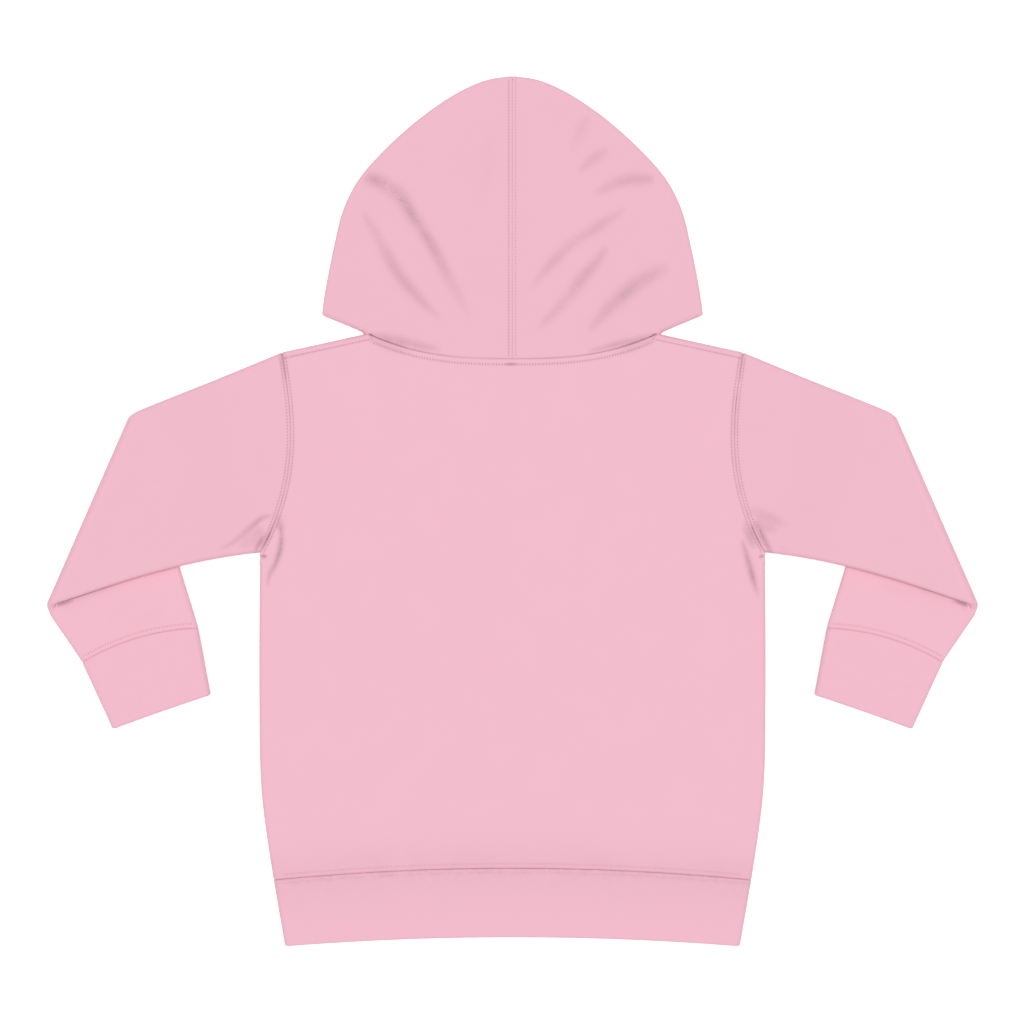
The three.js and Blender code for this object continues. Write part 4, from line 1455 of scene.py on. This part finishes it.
@dataclass(frozen=True)
class KnitFinish:
    """A dyed knit: its light and deep colours, the colour of its painted shade, its nap and its
    loops.
    """

    name: str
    light: Colour
    deep: Colour
    # the darker colour that painted shade mixes towards
    pressed: Colour
    fibre_scale: float
    patch_scale: float
    gauge: float
    loop_depth: float
    nap_depth: float
    sheen: float
    roughness: float = 0.95

    def make(self, nap: bpy.types.NodeTree, knit: bpy.types.NodeTree) -> bpy.types.Material:
        """Makes the material from the two shared groups.

        Args:
            nap: the brushed nap group.
            knit: the knit loops group.

        Returns:
            The material.
        """
        material = bpy.data.materials.new(self.name)
        material.use_nodes = True
        nodes, links = material.node_tree.nodes, material.node_tree.links
        shader = nodes["Principled BSDF"]
        shader.inputs["Roughness"].default_value = self.roughness
        shader.inputs["Specular IOR Level"].default_value = 0.15
        shader.inputs["Sheen Weight"].default_value = self.sheen
        shader.inputs["Sheen Roughness"].default_value = 0.6
        shader.inputs["Sheen Tint"].default_value = self.light
        where = nodes.new("ShaderNodeTexCoord")
        fuzz, loops = nodes.new("ShaderNodeGroup"), nodes.new("ShaderNodeGroup")
        fuzz.node_tree, loops.node_tree = nap, knit
        fuzz.inputs["Fibre scale"].default_value = self.fibre_scale
        fuzz.inputs["Patch scale"].default_value = self.patch_scale
        loops.inputs["Gauge"].default_value = self.gauge
        links.new(where.outputs["Object"], fuzz.inputs["Place"])
        links.new(where.outputs["UV"], loops.inputs["Cloth"])
        dyed, painted_shading = nodes.new("ShaderNodeMix"), nodes.new("ShaderNodeMix")
        dyed.data_type = painted_shading.data_type = "RGBA"
        dyed.inputs[6].default_value = self.deep
        dyed.inputs[7].default_value = self.light
        painted_shading.inputs[7].default_value = self.pressed
        # The points' painted shade mixes the dyed colour towards the shade colour.
        painted_shade_input = nodes.new("ShaderNodeAttribute")
        painted_shade_input.attribute_name = "pressed"
        links.new(fuzz.outputs["Mottle"], dyed.inputs[0])
        links.new(painted_shade_input.outputs["Fac"], fuzz.inputs["Pressed"])
        links.new(fuzz.outputs["Painted shading"], painted_shading.inputs[0])
        links.new(dyed.outputs[2], painted_shading.inputs[6])
        links.new(painted_shading.outputs[2], shader.inputs["Base Color"])
        last = None
        for height, depth in (
            (loops.outputs["Height"], self.loop_depth),
            (fuzz.outputs["Height"], self.nap_depth),
        ):
            bump = nodes.new("ShaderNodeBump")
            bump.inputs["Strength"].default_value = 0.6
            bump.inputs["Distance"].default_value = depth * METRE
            links.new(height, bump.inputs["Height"])
            if last is not None:
                links.new(last.outputs[0], bump.inputs["Normal"])
            last = bump
        links.new(last.outputs[0], shader.inputs["Normal"])
        return material


FLEECE = KnitFinish(
    "brushed pink fleece",
    light=(0.862, 0.490, 0.588, 1.0),
    deep=(0.828, 0.467, 0.562, 1.0),
    # colour of the painted shade in creases, seams and under the sleeve's edge
    pressed=(0.36, 0.20, 0.25, 1.0),
    fibre_scale=1500.0,
    patch_scale=45.0,
    gauge=1.3,
    loop_depth=0.04,
    nap_depth=0.10,
    sheen=0.12,
)
RIB = KnitFinish(
    "pink rib knit",
    light=(0.870, 0.494, 0.594, 1.0),
    deep=(0.818, 0.456, 0.550, 1.0),
    # colour of the painted shade at the band's seam and below it
    pressed=(0.36, 0.20, 0.25, 1.0),
    fibre_scale=1100.0,
    patch_scale=160.0,
    gauge=0.9,
    loop_depth=0.06,
    nap_depth=0.10,
    sheen=0.12,
)
THREAD = KnitFinish(
    "pink sewing thread",
    # darker than the cloth: the thread's own colour, deepened as painted shade of the needle holes
    light=(0.66, 0.365, 0.445, 1.0),
    deep=(0.58, 0.315, 0.385, 1.0),
    pressed=(0.36, 0.20, 0.25, 1.0),
    fibre_scale=3000.0,
    patch_scale=300.0,
    gauge=0.5,
    loop_depth=0.02,
    nap_depth=0.05,
    sheen=0.0,
    roughness=0.75,
)


@dataclass
class Studio:
    """A pale floor, an even sky, a broad light overhead and a camera straight above, in metres."""

    lens: float = 135.0
    sensor: float = 36.0
    field_width: float = 0.64512
    sharp_height: float = 0.003
    aim: tuple[float, float] = (-0.0003, -0.0003)
    sky: float = 0.35
    overhead: float = 2.24
    floor_glow: float = 0.2
    overhead_size: float = 28.0

    def build_camera(self) -> None:
        """Sets the camera so that its field is as wide as the photograph at the cloth."""
        camera = bpy.data.cameras.new("camera")
        camera.lens = self.lens
        camera.sensor_width = self.sensor
        eye = bpy.data.objects.new("camera", camera)
        away = self.field_width * self.lens / self.sensor
        eye.location = (*self.aim, away + self.sharp_height)
        bpy.context.scene.collection.objects.link(eye)
        bpy.context.scene.camera = eye

    def build_light(self) -> None:
        """Sets an even white sky and one broad light straight overhead."""
        scene = bpy.context.scene
        scene.view_settings.view_transform = "Standard"
        scene.view_settings.look = "None"
        world = bpy.data.worlds.new("studio")
        world.use_nodes = True
        world.node_tree.nodes["Background"].inputs[0].default_value = (1.0, 1.0, 1.0, 1.0)
        world.node_tree.nodes["Background"].inputs[1].default_value = self.sky
        scene.world = world
        light = bpy.data.lights.new("overhead light", "SUN")
        light.energy = self.overhead
        light.angle = math.radians(self.overhead_size)
        scene.collection.objects.link(bpy.data.objects.new("overhead light", light))

    def build_floor(self) -> None:
        """Lays a pale matt floor under the garment."""
        half, below = 3.0, -0.0002
        corners = [(-half, -half, below), (half, -half, below), (half, half, below)]
        corners.append((-half, half, below))
        mesh = bpy.data.meshes.new("floor")
        mesh.from_pydata(corners, [], [(0, 1, 2, 3)])
        floor = bpy.data.objects.new("floor", mesh)
        bpy.context.scene.collection.objects.link(floor)
        paint = bpy.data.materials.new("pale floor")
        paint.use_nodes = True
        shader = paint.node_tree.nodes["Principled BSDF"]
        shader.inputs["Base Color"].default_value = (0.98, 0.98, 0.98, 1.0)
        shader.inputs["Roughness"].default_value = 1.0
        shader.inputs["Specular IOR Level"].default_value = 0.0
        shader.inputs["Emission Color"].default_value = (1.0, 1.0, 1.0, 1.0)
        shader.inputs["Emission Strength"].default_value = self.floor_glow
        mesh.materials.append(paint)


@dataclass
class Hoodie:
    """The whole garment, from its panels to its stitches."""

    fleece: bpy.types.Material
    rib: bpy.types.Material
    thread: bpy.types.Material

    def body(self) -> tuple[BodyPanel, BodyPanel]:
        """The back and the front of the body."""
        armholes = tuple(Seam(armhole_path(side)) for side in Side)
        armhole_rows = (ARMHOLE_BODY_ROW, mirrored_row(ARMHOLE_BODY_ROW))
        shoulder_rows = (SHOULDER_ROW, mirrored_row(SHOULDER_ROW))
        folds = LEFT_ARMPIT_CREASES + RIGHT_ARMPIT_CREASES
        hem = Seam(hem_path(), line=0.42)
        # A broad painted shade on the body about the hem seam, a seam of no depth
        broad_seam_shade = Seam(hem_path(), depth=0.0, line=16.0, shade=0.095)
        back_relief = Relief(
            seams=(Seam(BACK_NECK.path(), shade=0.34), hem, broad_seam_shade, *armholes),
            rows=(*shoulder_rows, *armhole_rows, NECK_ROW, HEM_ROW, BAR_TACK),
            creases=folds + NECK_CORNER_CREASES + SHOULDER_CREASES,
        )
        back = BodyPanel("body_back", BACK_NECK, Facing.UP, back_relief, 170, 190, 0.1)
        neck_row = StitchRow(offset_path(FRONT_NECK.path(86.0), -3.6))
        front_relief = Relief(
            seams=(Seam(FRONT_NECK.path()), hem, *armholes),
            rows=tuple(
                replace(row, dent=0.5, thread=0.36, dent_width=1.2)
                for row in (*armhole_rows, neck_row, HEM_ROW)
            ),
            creases=tuple(under_copy(crease) for crease in folds),
        )
        front = BodyPanel("body_front", FRONT_NECK, Facing.DOWN, front_relief, 130, 150, 0.0965)
        return back, front

    def bands(self) -> list[RibBand]:
        """The waistband and both cuffs."""

        def across(line: dict[str, float]) -> Callable:
            """A bowed line across the hem."""
            half, y = line["half"], line["side_y"]
            return bowed((-half, y), (half, y), line["rise"])

        cuff_seam = bowed(CUFF_SEAM["inner"], CUFF_SEAM["outer"], CUFF_SEAM["bow"])
        cuff_edge = bowed(CUFF_EDGE["inner"], CUFF_EDGE["outer"], CUFF_EDGE["bow"])
        hem, edge = across(HEM_SEAM), across(HEM_EDGE)
        waistband = RibBand("waistband", hem, edge, flat=(0.6, 0.044), area=0.0262)
        # The waistband gets a faint line where its allowance ends and a broad painted shade below
        # its seam.
        bands = [replace(waistband, allowance=0.1, broad_seam_shade=0.13)]
        for side in Side:
            node = f"cuff_{side.name.lower()}"
            bands.append(RibBand(node, cuff_seam, cuff_edge, (0.155, 0.048), 0.0069, side.value))
        return bands

    def build(self) -> None:
        """Builds the garment in the order in which it is sewn."""
        back, front = self.body()
        sewn = [front, back, *(HoodHalf(side) for side in Side), *(Sleeve(side) for side in Side)]
        for part in sewn:
            piece = part.build(self.fleece, self.thread)
            LOG.info("%s: %d faces", piece.name, len(piece.data.polygons))
        for band in self.bands():
            piece = band.build(self.rib)
            LOG.info("%s: %d faces", piece.name, len(piece.data.polygons))


def main() -> None:
    """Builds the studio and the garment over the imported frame."""
    logging.basicConfig(level=logging.INFO, format="%(name)s: %(message)s")
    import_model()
    studio = Studio()
    studio.build_camera()
    studio.build_light()
    studio.build_floor()
    nap, knit = nap_group(), knit_group()
    Hoodie(FLEECE.make(nap, knit), RIB.make(nap, knit), THREAD.make(nap, knit)).build()


if __name__ == "__main__":
    main()
